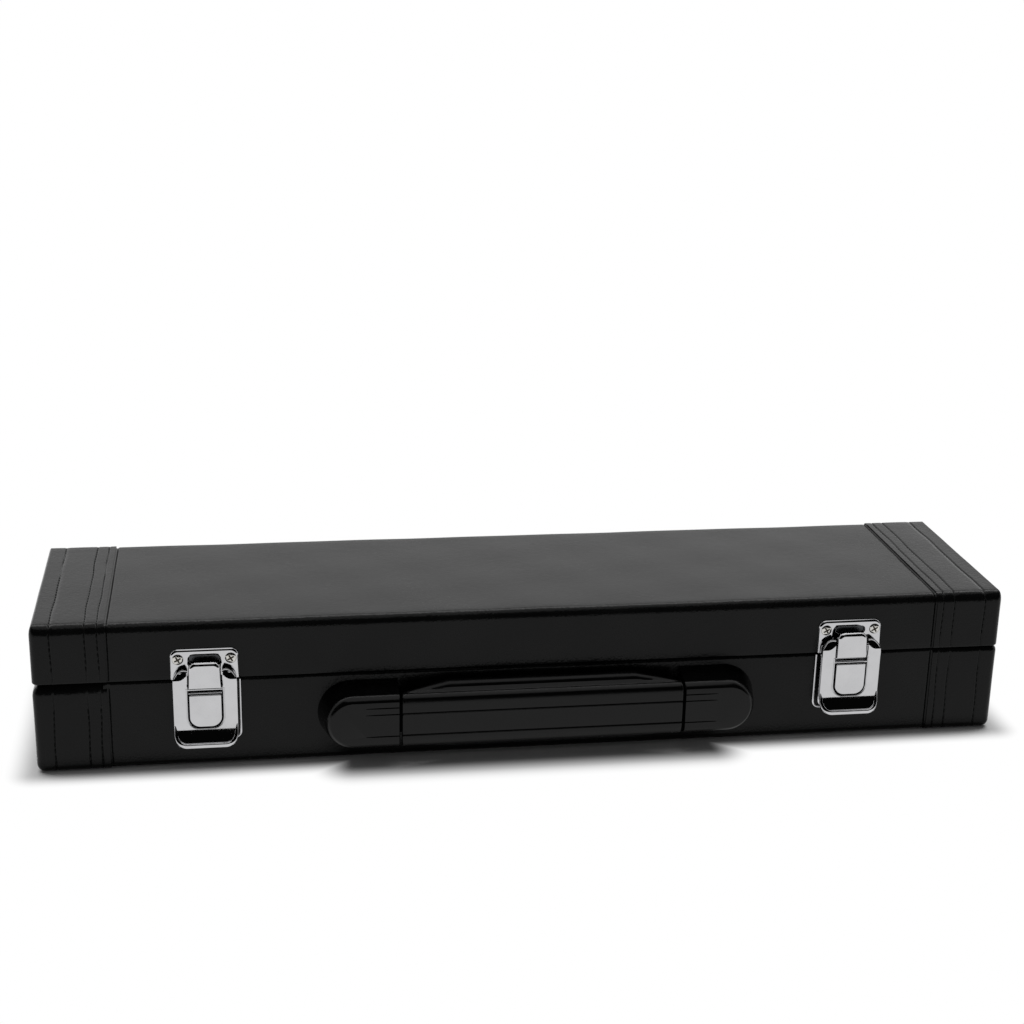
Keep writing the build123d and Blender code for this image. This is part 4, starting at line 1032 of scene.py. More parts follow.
    def slot_floor(self) -> Patch:
        """Thin dark plate at the bottom of the slot: painted shade for the slot's dark inside."""
        slot_w, slot_v = self.slot_half
        more = self.slot_floor_margin
        corners = box_corners(-slot_w - more, self.slot_height - slot_v - more, slot_w + more,
                              self.slot_height + slot_v + more)
        return self.front.put(slab(corners, np.full(4, 2.2), 0.05, 0.32, (0.05, 0.05), 0.05, 6, 3))

    def strike_screw(self, w: float, v: float) -> tuple[Patch, Array]:
        """Domed screw head with a cross recess on a polar grid, and a ring of painted shade where it meets the plate.

        The height is a shallow dome, and drops by the recess depth inside a cross of two bars that narrow outwards.

        Args:
            w: Place across.
            v: Place above the joint.

        Returns:
            The patch and the share of painted shade at each of its points: the recess and the rim.
        """
        radius = self.screw_radius
        ring = radius * np.sin(np.linspace(0.02, math.pi / 2, 26))
        turn = np.linspace(0, 2 * math.pi, 64, endpoint=False)
        a, b = ring[:, None] * np.cos(turn + 0.5), ring[:, None] * np.sin(turn + 0.5)
        bar_a, bar_b = ring[:, None] * np.cos(turn), ring[:, None] * np.sin(turn)
        across = np.minimum(np.abs(bar_a), np.abs(bar_b)) - self.screw_bar_half + 0.05 * ring[:, None]
        reach = ring[:, None] - self.screw_bar_reach
        depth = np.clip(-np.maximum(across, reach) / 0.16, 0, 1)
        dome = 1.05 + 0.8 * np.sqrt(np.maximum(1 - (ring / (radius * 1.02)) ** 2, 0))[:, None]
        surface = np.stack([a + w, b + v, dome - self.screw_recess * depth], -1)
        foot = np.stack([a[-1] + w, b[-1] + v, np.full(len(turn), 0.4)], -1)[None]
        rings = np.concatenate([surface, foot])
        # painted shade in a thin ring at the rim, where the head meets the plate; the recess takes it too
        edge = np.clip((ring[:, None] - 0.965 * radius) / (0.03 * radius), 0, 1) + 0 * turn
        shade_mask = np.concatenate([np.maximum(depth, edge).ravel(), np.ones(len(turn))])
        return self.front.put(tube(rings)), shade_mask

    def base_plate(self) -> Patch:
        """Plate behind the lever with two ears that carry its pivot, and its raised rim."""
        sunk = self.plate_half - 2.6
        corners = box_corners(-sunk, self.plate_foot + 0.4, sunk, self.plate_top)
        plate = self.front.put(slab(corners, [3.2, 3.2, 0.5, 0.5], 0.0, 0.9, (0.45, 0.45), 0.45, 9))
        pivot = self.pivot()
        ear_corners = np.array([(0.6, -9.0), (1.1, -9.0), (2.5, -7.2), (pivot[0] + 0.55, pivot[1] - 1.4),
                                (pivot[0] + 0.95, pivot[1] + 0.95), (pivot[0] - 0.95, pivot[1] + 0.95),
                                (1.5, pivot[1] - 1.0), (1.5, -0.7), (0.6, -0.7)])
        ear_radii = [0.1, 0.2, 0.6, 0.4, 0.9, 0.9, 0.5, 0.1, 0.1]
        ears = [self.section.put(slab(ear_corners, ear_radii, w, w + 0.7, (0.12, 0.12), 0.12, 5, 3))
                for w in self.ears]
        return joined(plate, *ears, self.plate_edge())

    def plate_edge(self) -> Patch:
        """Raised rim of the base plate: a half-round bead down both sides and around the foot."""
        size = self.plate_rim
        half, top = self.plate_half - size, self.plate_top
        left = self.plate_trim - half
        outline, outward = rounded_polygon(box_corners(left, self.plate_foot + size, half, top),
                                           [2.8, 2.8, 0.1, 0.1], 13)
        path = np.concatenate([[[left, top]], outline[:26], [[half, top]]])
        away = np.concatenate([[[-1.0, 0.0]], outward[:26], [[1.0, 0.0]]])
        return self.front.put(bead(path, away, np.full(len(path), size), np.full(len(path), 0.5)))

    def pivot(self) -> tuple[float, float]:
        """The lever's axis, as (u, v)."""
        for joint in frame["joints"]:
            if joint["name"] == f"lever_{self.label}_pivot":
                _, y, z = joint["pos_m"]
                return self.wall - y / MM, z / MM - self.split
        raise ValueError("the latch has no pivot")

    def lever_face_sheet(self) -> Patch:
        """Pressed face of the lever below its shoulders, as rows down its section and columns across it.

        The section is straight, then an arc that flares into the lip. The half width follows the corner arcs, and
        the window's half width ends in an arc below the pad.
        """
        foot = self.lever_foot + self.lip_bead
        v_corner = -(self.pad_window - self.pad_window_radius) - self.pad_window_radius * np.sin(quarter(11))
        v_mid = np.linspace(self.face_top, v_corner[0] + 2.0, 7)
        v_lip = np.linspace(-self.lip_start, foot, 22)
        v_low = np.unique(np.concatenate([v_corner, v_lip, [-self.pad_window]]))[::-1]
        v = np.concatenate([v_mid, v_low])
        u = self.lever_face + self.lip_height(v)
        outer = self.corner_half(v)
        bottom = self.window_half - self.pad_window_radius
        drop = np.clip((-(self.pad_window - self.pad_window_radius) - v) / self.pad_window_radius, 0, 1)
        inner = bottom + self.pad_window_radius * np.sqrt(1 - drop ** 2)
        inner_columns = np.linspace(0, 1, 4)
        outer_columns = np.linspace(0, 1, 7)[1:]
        half = np.concatenate([inner[:, None] * inner_columns,
                               inner[:, None] + (outer - inner)[:, None] * outer_columns], 1)
        w = np.concatenate([-half[:, :0:-1], half], 1)
        middle = len(half[0]) - 1
        local = np.stack([w, np.broadcast_to(v[:, None], w.shape), np.broadcast_to(u[:, None], w.shape)], -1)
        keep = np.ones((len(v) - 1, w.shape[1] - 1), bool)
        last_open = int(np.argmin(np.abs(v + self.pad_window)))
        keep[:last_open, middle - 3:middle + 3] = False
        return self.front.put(self.used(grid(local, keep=keep)))

    @staticmethod
    def used(patch: Patch) -> Patch:
        """The patch without the points that no face uses."""
        faces = np.array(patch.faces)
        kept, order = np.unique(faces, return_inverse=True)
        return Patch(patch.points[kept], [tuple(f) for f in order.reshape(faces.shape).tolist()])

    def lip_height(self, v: Array) -> Array:
        """How far the lip flares outwards: an arc to the lip's angle, then straight on."""
        limit = math.radians(self.lip_angle)
        turn = np.arcsin(np.clip((-self.lip_start - v) / self.lip_bend, 0, math.sin(limit)))
        past = np.maximum(-self.lip_start - v - self.lip_bend * math.sin(limit), 0)
        return self.lip_bend * (1 - np.cos(turn)) + past * math.tan(limit)

    def corner_half(self, v: Array) -> Array:
        """Half width of the lever, whose lower corners are arcs."""
        depth = np.clip((self.lever_foot - v + self.corner) / self.corner, 0, 1)
        return self.lever_half - self.corner * (1 - np.sqrt(1 - depth ** 2))

    def lever_inside(self) -> Patch:
        """Side walls, shoulders, raised pad, the bead around its channel, the bar above it and the rolled lip."""
        side = np.array([(1.45, -19.0), (self.lever_face - 0.75, -21.5), (self.lever_face - 0.75, 0.7),
                         (2.2, 0.7), (1.45, -0.5)])
        reach = self.lever_half - 0.06
        walls = [self.section.put(slab(side, [0.8, 0.3, 0.8, 0.8, 0.5], w, w + 0.8, (0.05, 0.05), 0.05, 4, 2))
                 for w in (reach - 0.8, -reach)]
        pad = slab(box_corners(-self.pad_half, -self.pad_bottom, self.pad_half, -self.pad_top),
                   [self.pad_corner] * 2 + [0.5] * 2, self.lever_face - 2.6, self.hasp_face, (0.30, 0.35), 0.35, 10)
        bar = self.rod(*self.bar_place, self.bar_radius, self.bar_half)
        return joined(*walls, self.front.put(pad), bar, self.lip_edge(),
                      self.channel_edge(), self.shoulder(-1), self.shoulder(1))

    def channel_edge(self) -> Patch:
        """Thin bead down both sides of the pad's channel and around below the pad."""
        half, size = self.window_half + self.channel_gap, self.channel_bead
        outline, outward = rounded_polygon(box_corners(-half, -self.pad_window - 0.25, half, 0.0),
                                           [self.pad_window_radius] * 2 + [0.1, 0.1], 15)
        path = np.concatenate([[[-half, -2.0]], outline[:30], [[half, -2.0]]])
        away = np.concatenate([[[-1.0, 0.0]], outward[:30], [[1.0, 0.0]]])
        lift = self.lever_face + self.lip_height(path[:, 1]) - 0.02
        return self.front.put(bead(path, away, np.full(len(path), size), lift))

    def shoulder(self, side: int) -> Patch:
        """Raised shoulder beside the hasp, whose top slopes back to a beaded edge.

        Each ring is the upright section at one distance across: up the flat face to a line that climbs towards the
        hasp, back along a slope to the corner arc, and down behind. The bead follows the arc.

        Args:
            side: 1 for the right shoulder, -1 for the left one.

        Returns:
            A closed patch.
        """
        inner, low, radius = self.window_half + 0.15, self.face_top - 0.8, self.corner
        w = inner + (self.lever_half - inner) * np.sin(quarter(22))
        fall = np.where(w > self.lever_half - 0.01, 0.12, 0.0)
        top = self.shoulder_top - radius * (1 - np.sqrt(1 - np.clip((w - self.lever_half) / radius + 1, 0, 1) ** 2))
        climb = np.clip((self.slope_turn - w) / (self.slope_turn - inner), 0, 1) ** 2
        bend = np.minimum(self.slope_start + (self.slope_end - self.slope_start) * climb, top - 0.75)
        face, back = self.lever_face + 0.012 - fall, np.full(len(w), self.lever_face - 3.3)
        slope = math.tan(math.radians(self.slope_angle))
        run = top - 0.35 - bend
        turn = np.radians([15.0, 35.0, 55.0, 75.0, 90.0])
        v = [np.full(len(w), low), np.full(len(w), low), bend - 0.2, bend, bend + 0.2, bend + 0.5 * run, top - 0.35]
        u = [back, face, face, face - 0.03, face - 0.2 * slope, face - 0.5 * run * slope, face - run * slope]
        v += [top - 0.35 * (1 - math.sin(t)) for t in turn] + [top]
        u += [u[6] - 0.12 - 0.4 * (1 - math.cos(t)) for t in turn] + [back]
        rings = np.stack([np.broadcast_to(side * w[:, None], (len(w), len(v))), np.stack(v, 1), np.stack(u, 1)], -1)
        arc = np.linspace(0.05, math.pi / 2, 20)
        away = np.concatenate([np.stack([np.cos(arc), np.sin(arc)], 1), [[0.0, 1.0]]])
        size = self.shoulder_bead * np.interp(np.arange(21), [0, 5], [0.6, 1.0])
        path = away * (radius - size)[:, None] + [self.lever_half - radius, self.shoulder_top - radius]
        path[-1, 0] = inner
        lift = np.interp(path[:, 0], w, u[6]) - 0.3 * size
        edge = bead(path * [side, 1], away * [side, 1], size, lift)
        return self.front.put(joined(tube(rings), edge))

    def backing(self) -> Patch:
        """Near-black steel plate behind the window and the pad's channel, dark so that it reads as the shade there:
        painted shade.
        """
        corners = box_corners(-self.backing_half, -self.backing_foot, self.backing_half, 0.5)
        return self.front.put(slab(corners, [4.0, 4.0, 0.5, 0.5], self.lever_face - 3.7, self.lever_face - 2.5,
                                   (0.1, 0.1), 0.1, 6, 3))

    def lip_edge(self) -> Patch:
        """Rolled bead along the foot of the lever: circles around a path that follows its lower corners."""
        corners = box_corners(-self.lever_half, self.lever_foot, self.lever_half, 0.0)
        outline, outward = rounded_polygon(corners, [self.corner, self.corner, 0.2, 0.2], 15)
        start = np.stack([np.full(4, -self.lever_half), np.linspace(*self.lip_bead_run, 4)], 1)
        side = np.tile([-1.0, 0.0], (4, 1))
        path = np.concatenate([start, outline[:30], start[::-1] * [-1, 1]])
        away = np.concatenate([side, outward[:30], side * [-1, 1]])
        size = self.lip_bead * np.interp(-path[:, 1], [18.5, 21.5, 24.5, -self.lever_foot], [0.3, 0.75, 0.9, 1.0])
        centre = path - away * size[:, None]
        lift = self.lever_face + self.lip_height(centre[:, 1]) - 0.4 * size
        return self.front.put(bead(centre, away, size, lift, 24, self.lip_bead_power))

    def rod(self, v: float, u: float, radius: float, half: float) -> Patch:
        """Round bar across the latch with slightly rounded ends."""
        turn = np.linspace(0, 2 * math.pi, 20, endpoint=False)
        along = np.array([-half, -half + 0.08, half - 0.08, half])
        size = np.array([radius * 0.8, radius, radius, radius * 0.8])
        rings = np.stack([
            np.broadcast_to(along[:, None], (4, 20)),
            v + size[:, None] * np.sin(turn),
            u + size[:, None] * np.cos(turn),
        ], -1)
        return self.front.put(tube(rings))

    def hasp(self) -> Patch:
        """Hasp plate: a bullnose around its top and sides, a knuckle behind its foot, and a hook behind its top.

        Rings follow the outline inwards while the height rises along a superellipse, deep around the top and tight
        at the sides.
        """
        corners = box_corners(-self.hasp_half, -2.2, self.hasp_half, self.hasp_top)
        outline, outward = rounded_polygon(corners, [0.3, 0.3, self.hasp_corner, self.hasp_corner], 14)
        lift = np.clip((outline[:, 1] - 3.0) / 3.2, 0, 1)[:, None]
        inward = 0.4 + 0.9 * lift
        rows = [lifted(outline, self.hasp_face - self.hasp_thick)]
        rows += [np.column_stack([outline - outward * inward * inwards,
                                  self.hasp_face - (0.45 + 0.8 * lift) * (1 - upwards)])
                 for inwards, upwards in zip(*edge_curve(14, self.hasp_power))]
        plate = self.front.put(tube(np.stack(rows)))
        roll = self.rod(-2.5, self.hasp_face - 2.45, self.knuckle_radius, self.hasp_half - 0.02)
        hook_corners = box_corners(-self.hook_half, self.hasp_top - 2.0, self.hook_half, self.hasp_top - 0.9)
        hook = self.front.put(slab(hook_corners, np.full(4, 0.3), 1.35, self.hasp_face - 1.5, (0.1, 0.1), 0.1, 4, 3))
        return joined(plate, roll, hook)

    def dress(self) -> None:
        """Builds the latch's pieces and rides each on its body."""
        lever, hasp = f"lever_{self.label}", f"hasp_{self.label}"
        self.add("strike", self.strike(), Finish.CHROME, "lid", "nickel", f"strike_plate_{self.label}")
        # the slot floor is painted shade for the dark inside of the slot
        self.add("slot_floor", self.slot_floor(), Finish.SLOT_SHADE, "lid", "nickel")
        self.add("latch_base", self.base_plate(), Finish.CHROME, "base", "nickel", f"latch_plate_{self.label}")
        sheet = make_piece(f"lever_face_{self.label}", self.lever_face_sheet(), material(Finish.CHROME),
                           Closing.SHEET, (self.x, self.wall, self.split - 14.0))
        thicken(sheet, self.sheet, self.sheet_bevel)
        settle(sheet, lever, "nickel", lever)
        self.add("lever_pad", self.lever_inside(), Finish.CHROME, lever, "nickel")
        # painted shade: the backing is near-black so the window behind the pad reads dark
        self.add("lever_backing", self.backing(), Finish.SHADE_BLACK, lever, "spring_steel")
        self.add("hasp_plate", self.hasp(), Finish.CHROME, hasp, "nickel", hasp)

    def add(self, name: str, patch: Patch, finish: Finish, body: str, slot: str, *nodes: str) -> None:
        """Makes one closed piece of the latch and settles it.

        Args:
            name: What the piece is.
            patch: Its surface.
            finish: Its finish.
            body: The body that carries it.
            slot: Its material slot.
            nodes: The CAD nodes that it replaces, if any.
        """
        settle(make_piece(f"{name}_{self.label}", patch, material(finish)), body, slot, *nodes)


def dress_strike_screws(latches: list[DrawLatch]) -> None:
    """One piece holds the four screws of both strike plates, with their painted shade in the recess and at the rim.
    """
    made = [latch.strike_screw(side * latch.screw_reach, latch.screw_height) for latch in latches for side in (-1, 1)]
    heads = make_piece("strike_screw_heads", joined(*[patch for patch, _ in made]), material(Finish.SCREW))
    recess = heads.data.attributes.new("recess", "FLOAT", "POINT")
    recess.data.foreach_set("value", np.concatenate([shade_mask for _, shade_mask in made]).astype(np.float32))
    settle(heads, "lid", "screw_nickel", "strike_screws")


# ------------------------------------------------------------------ strap handle
@dataclass
class StrapHandle:
    """Two moulded seats and the strap between them; u is outwards from the front cover."""

    hang: float = 0.5
    seat_edge: float = 2.6
    seat_drop: float = 3.6
    mouth_edge: float = 0.45
    edge_power: float = 1.5
    cavity_half: float = 6.8
    cavity_depths: tuple[float, float] = (1.6, 12.3)
    cavity_reach: tuple[float, float] = (-1.0, 15.0)
    draft: float = 2.4
    lines: tuple[float, ...] = (6.9, 3.9, -6.1)
    line_length: tuple[float, float] = (-1.5, 15.0)
    line_half: float = 0.28
    line_depth: float = 0.4
    strap_edge: float = 2.1
    strap_drop: float = 2.9
    flank: float = 4.6
    pad_rise: float = 3.2
    rear_round: float = 2.2
    strap_short: float = 0.4
    groove_spots: tuple[float, ...] = (3.9, -6.0)
    groove_half: float = 0.45
    groove_depth: float = 0.45
    face_crown: float = 0.25
    end_depth: float = 9.7
    bend_reach: tuple[float, float] = (53.0, 33.0)

    def __post_init__(self) -> None:
        """Reads the handle's place and sizes from the frame."""
        seat_low, seat_high = span("handle_seat_right")
        cover_low, cover_high = span("grip_cover")
        pad_low, pad_high = span("grip_pad")
        self.wall = seat_high[1]
        self.x = (cover_low[0] + cover_high[0]) / 2
        self.z = (seat_low[2] + seat_high[2]) / 2 - self.hang
        self.proud = self.wall - seat_low[1]
        self.mouth = seat_low[0] - self.x
        self.base_reach = seat_high[0] - self.x
        self.base_half = (seat_high[2] - seat_low[2]) / 2
        self.face_half = self.base_half - self.draft
        self.pad_rear = self.wall - pad_high[1]
        self.crease = self.wall - pad_low[1]
        self.pad_reach = cover_high[0] - self.x
        self.strap_reach = span("strap_cover_right")[1][0] - self.x
        self.place = facing_front(self.x, self.wall, self.z)

    def seat(self, side: int) -> bpy.types.Object:
        """Drafted block with a half-round end, a rounded front edge, an open mouth and three scored lines.

        Each ring is a rectangle from the mouth to the half-round end, smaller by the draft at each height, then
        by the superellipse of the front edge.
        """
        rise = np.linspace(0, 1, 6)
        inwards, upwards = (share[1:] for share in edge_curve(15, self.edge_power))
        height = np.concatenate([rise * (self.proud - self.seat_drop), self.proud - self.seat_drop * (1 - upwards)])
        shrink = np.concatenate([self.draft * rise, self.draft + self.seat_edge * inwards])
        mouth = np.concatenate([np.zeros(6), self.mouth_edge * inwards])
        rows = []
        for u, less, open_side in zip(height, shrink, mouth):
            half = self.base_half - less
            corners = box_corners(self.mouth + open_side, -half, self.base_reach - less, half)
            outline, _ = rounded_polygon(corners, [0.4, half * 0.995, half * 0.995, 0.4], 14)
            rows.append(lifted(outline * [side, 1], u))
        block = make_piece(f"seat_{'right' if side > 0 else 'left'}", self.place.put(tube(np.stack(rows))),
                           material(Finish.SEAT))
        self.hollow(block, side)
        return block

    def hollow(self, block: bpy.types.Object, side: int) -> None:
        """Cuts the cavity for the strap end and the scored lines out of a seat."""
        ends = sorted(side * (self.mouth + reach) for reach in self.cavity_reach)
        cavity = slab(box_corners(ends[0], -self.cavity_half, ends[1], self.cavity_half), np.full(4, 1.0),
                      *self.cavity_depths, (0.5, 0.5), 0.5, 4, 3)
        cutters = [cavity]
        near, far = self.line_length
        for spot in self.lines:
            turn = np.linspace(0, 2 * math.pi, 12, endpoint=False)
            along = np.linspace(-1, 1, 17)
            size = np.sqrt(np.maximum(1 - np.maximum(along, 0) ** 2, 0.0)) + 0.02
            centre = side * (self.mouth + (near + far) / 2)
            rings = np.stack([
                np.broadcast_to(centre + side * (far - near) / 2 * along[:, None], (17, 12)),
                spot + self.line_half * size[:, None] * np.cos(turn),
                self.proud + 0.05 + self.line_depth * size[:, None] * np.sin(turn),
            ], -1)
            cutters.append(tube(rings))
        cutter = make_piece("seat_cutter", self.place.put(joined(*cutters)), material(Finish.SEAT))
        cut = block.modifiers.new("hollow", "BOOLEAN")
        cut.operation = "DIFFERENCE"
        cut.solver = "EXACT"
        cut.object = cutter
        apply_modifiers(block)
        bpy.data.objects.remove(cutter)
        smooth(block, 35.0)

    def strap_ring(self, rear: Array, half_rear: float) -> Array:
        """Cross sections of the strap at several places along it.

        The outline runs from the middle of the face over the front edge, down the side past the crease to the rear
        edge, and back along the rear; it is mirrored below. Two cosine grooves are cut into the face.

        Args:
            rear: Depth of the rear face at each place.
            half_rear: Half height of the pad at each place.

        Returns:
            Points shaped (places, around, 2), as (height, depth).
        """
        front, face = self.face_half, self.proud
        r = self.strap_edge
        half_rear = half_rear[:, None]
        near = np.array([-1.0, -0.6, -0.3, 0, 0.3, 0.6, 1.0]) * self.groove_half
        spots = np.concatenate([g + near for g in self.groove_spots])
        across = np.unique(np.concatenate([spots, np.linspace(-(front - r), front - r, 9)]))
        away = np.abs(across[:, None] - np.array(self.groove_spots)) / self.groove_half
        groove = (self.groove_depth * well(away)).sum(1)
        crown = self.face_crown * (1 - (across / front) ** 2) - self.face_crown
        inwards, upwards = edge_curve(12, self.edge_power)
        edge_h = front - r * inwards[-2::-1]
        edge_d = face - self.face_crown - self.strap_drop * (1 - upwards[-2::-1])
        thick = np.clip((self.crease - rear) / (self.crease - self.pad_rear), 0, 1)[:, None] ** 2
        start = face - self.face_crown - self.strap_drop
        crease = start - 0.5 * self.flank
        side_d = np.array([start - 0.5, crease + 0.5, crease, crease - 0.5, start - self.flank])
        rise = (start - side_d) / self.flank
        notch = np.array([0.0, 0.0, -0.5, 0.1, 0.0])
        side_h = front + (half_rear - front) * rise + notch * thick
        shallow = (start - rear[:, None]) / (start - self.pad_rear)
        side_depth = start - (start - side_d) * shallow
        rear_r = np.minimum(self.rear_round, 0.5 * (side_depth[:, -1] - rear))[:, None]
        rear_h = half_rear - rear_r * (1 - np.cos(quarter(7)))
        rear_d = rear[:, None] + rear_r * (1 - np.sin(quarter(7)))
        back_h = (half_rear - rear_r) * np.linspace(0.85, 0, 5)
        back_d = np.broadcast_to(rear[:, None], back_h.shape)
        count = len(rear)
        up_h = np.concatenate([np.broadcast_to(edge_h, (count, 11)), side_h, rear_h, back_h], 1)
        up_d = np.concatenate([np.broadcast_to(edge_d, (count, 11)), side_depth, rear_d, back_d], 1)
        face_h = np.broadcast_to(across, (count, len(across)))
        face_d = np.broadcast_to(face + crown - groove, (count, len(across)))
        h = np.concatenate([face_h, up_h, -up_h[:, -2::-1]], 1)
        d = np.concatenate([face_d, up_d, up_d[:, -2::-1]], 1)
        return np.stack([h, d], -1)

    def strap_half(self, side: int) -> Patch:
        """One half of the strap, from the middle of the grip to the seat, as sections along it.

        The rear lies at the pad's depth, then rises in a smooth step towards the thin end at the seat.
        """
        x = np.unique(np.concatenate([np.linspace(0, self.pad_reach - 8, 9), np.linspace(self.pad_reach - 8,
                                      self.strap_reach - self.strap_short, 34)]))
        way = np.clip((x - self.pad_reach + 1.5) / (self.strap_reach - self.pad_reach + 1.5), 0, 1)
        rear = self.pad_rear + 0.1 + (self.end_depth - self.pad_rear) * way
        sections = self.strap_ring(rear, self.face_half + self.pad_rise * (1 - way))
        caps = self.strap_reach - np.array([self.strap_short, 0.12, 0.0])
        squeeze = np.array([1.0, 0.985, 0.955])
        last = sections[-1]
        middle = np.array([0.0, (self.proud + rear[-1]) / 2])
        ends = middle + (last - middle) * squeeze[:, None, None]
        sections = np.concatenate([sections, ends[1:]])
        x = np.concatenate([x, caps[1:]])
        rings = np.stack([np.broadcast_to((side * x)[:, None], sections.shape[:2]), sections[..., 0],
                          sections[..., 1]], -1)
        return self.place.put(tube(rings))

    def dress(self) -> None:
        """Builds the seats and the two halves of the strap."""
        for label, side in SIDES.items():
            settle(self.seat(side), "base", "seat_plastic", f"handle_seat_{label}")
        centre = {"left": "grip_cover", "right": "grip_pad"}
        for label, side in SIDES.items():
            strap = make_piece(f"strap_{label}", self.strap_half(side), material(Finish.GRIP))
            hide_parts(f"strap_cover_{label}", centre[label])
            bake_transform(strap)
            report(strap)


# ------------------------------------------------------------------ lining
@dataclass
class Lining:
    """Plush covered foam inside the case, and the plush on the inside of the walls."""

    cloth: float = 0.15
    frame_thick: float = 4.2
    panel_thick: float = 3.0
    saddle_half: float = 8.0
    saddle_floor: float = 3.0
    saddle_dip: float = 2.5
    board_gap: float = 1.2
    board_round: float = 8.0
    firm: float = 0.9
    soft: float = 0.8
    blocks: tuple[tuple[str, float, float], ...] = (
        ("front_rail", 0.5, 1.2), ("back_rail", 0.5, 1.2), ("middle_rail", 0.5, 1.2), ("divider_block", 0.5, 1.2),
        ("body_end_blocks", 0.4, 1.0), ("joint_end_blocks", 0.4, 1.0),
    )
    saddles: tuple[str, ...] = ("body_saddles", "head_saddles", "foot_saddle")

    def islands(self, node: str) -> list[tuple[Array, Array]]:
        """Boxes of the separate solids of a CAD node, in millimetres.

        Points in the same place become one, then the lowest number spreads along the edges until it stays.
        """
        mesh = frame["nodes"][node].data
        flat = np.empty(3 * len(mesh.vertices), np.float32)
        mesh.vertices.foreach_get("co", flat)
        points = flat.reshape(-1, 3).astype(float) / MM
        ends = np.empty(2 * len(mesh.edges), np.int32)
        mesh.edges.foreach_get("vertices", ends)
        _, same = np.unique(np.round(points, 2), axis=0, return_inverse=True)
        edges = same.reshape(-1)[ends.reshape(-1, 2)]
        label, before = np.arange(same.max() + 1), None
        while before is None or (label != before).any():
            before = label.copy()
            lowest = np.minimum(label[edges[:, 0]], label[edges[:, 1]])
            np.minimum.at(label, edges[:, 0], lowest)
            np.minimum.at(label, edges[:, 1], lowest)
        owner = label[same.reshape(-1)]
        boxes = [(points[owner == one].min(0), points[owner == one].max(0)) for one in np.unique(owner)]
        return sorted(boxes, key=lambda box: tuple(box[0]))

    def block(self, node: str, crown: float, edge: float) -> Patch:
        """Soft blocks in place of each solid of a node."""
        return joined(*[soft_block(low, high, edge, crown) for low, high in self.islands(node)])

    def saddle(self, node: str) -> Patch:
        """Low blocks across a pocket whose top dips in a round groove, with softened ends."""
        made = []
        for low, high in self.islands(node):
            half, top = (high[1] - low[1]) / 2, high[2] - low[2]
            wide, narrow, dip = self.saddle_half, self.saddle_floor, top - self.saddle_dip
            corners = np.array([(-half, 0), (half, 0), (half, top), (wide, top), (narrow, dip), (-narrow, dip),
                                (-wide, top), (-half, top)])
            section = Axes((low[0], (low[1] + high[1]) / 2, low[2]), (0, 1, 0), (0, 0, 1), (1, 0, 0))
            radii = [0.3, 0.3, 1.0, 2.5, 6.0, 6.0, 2.5, 1.0]
            outline, outward = rounded_polygon(corners, radii, 6)
            length = high[0] - low[0]
            rows = [lifted(outline - outward * (1 - math.sin(a)), 1 - math.cos(a)) for a in quarter(5)]
            rows += [lifted(row[:, :2], length - row[:, 2]) for row in rows[::-1]]
            made.append(section.put(tube(np.stack(rows))))
        return joined(*made)

    def wall_ring(self, half: str, outer: float, inner: float, low: float, high: float, bevel: float) -> Patch:
        """Ring that follows the four walls of a half between two distances from their inner faces.

        Args:
            half: The lid or the base.
            outer: Distance of its outside from the walls' inner faces.
            inner: Distance of its inside.
            low: Its end away from the joint.
            high: Its end at the joint.
            bevel: How far its outside leans in at the joint.

        Returns:
            A closed patch.
        """
        wall_x, wall_y = span(f"{half}_wall_right")[0][0], span(f"{half}_wall_right")[1][1]
        tip = high - math.copysign(bevel, high - low)
        rows = []
        for grow, z in ((outer, low), (outer, tip), (outer - bevel, high), (inner, high), (inner, low)):
            corners = box_corners(-wall_x - grow, -wall_y - grow, wall_x + grow, wall_y + grow)
            outline, _ = rounded_polygon(corners, np.full(4, 1.2), 5)
            rows.append(lifted(outline, z))
        rows.append(rows[0])
        return tube(np.stack(rows), False, False)

    def cushion(self, node: str, patch: Patch, body: str) -> None:
        """Makes the padded piece that stands for one node of the lining."""
        made = make_piece(f"soft_{node}", patch, material(Finish.PLUSH))
        settle(made, body, "plush", node)

    def dress(self) -> None:
        """Builds every pad, rail, block and saddle, and the cloth on the walls."""
        for node, crown, edge in self.blocks:
            self.cushion(node, self.block(node, crown, edge), "base")
        for node in self.saddles:
            self.cushion(node, self.saddle(node), "base")
        self.cushion("floor_pad", self.block("floor_pad", 0.3, 1.0), "base")
        self.lid_pad()
        lid_low, lid_high = span("lid_cover")
        base_low, base_high = span("base_cover")
        self.walls("lid", lid_high[2] - self.panel_thick, lid_low[2], self.frame_thick)
        self.walls("base", base_low[2] + self.panel_thick, base_high[2], 0.0)
        self.top_board()

    def top_board(self) -> None:
        """Wooden panel of the lid, rounded off well inside the soft edge of its cover."""
        low, high = span("lid_top_panel")
        gap = self.board_gap
        corners = box_corners(low[0] + gap, low[1] + gap, high[0] - gap, high[1] - gap)
        board = slab(corners, np.full(4, 3.0), low[2], high[2] - 0.1, (self.board_round, self.board_round),
                     high[2] - low[2] - 0.3, 6, 8)
        settle(make_piece("lid_wooden_board", board, material(Finish.WOOD)), "lid", "case_wood", "lid_top_panel")

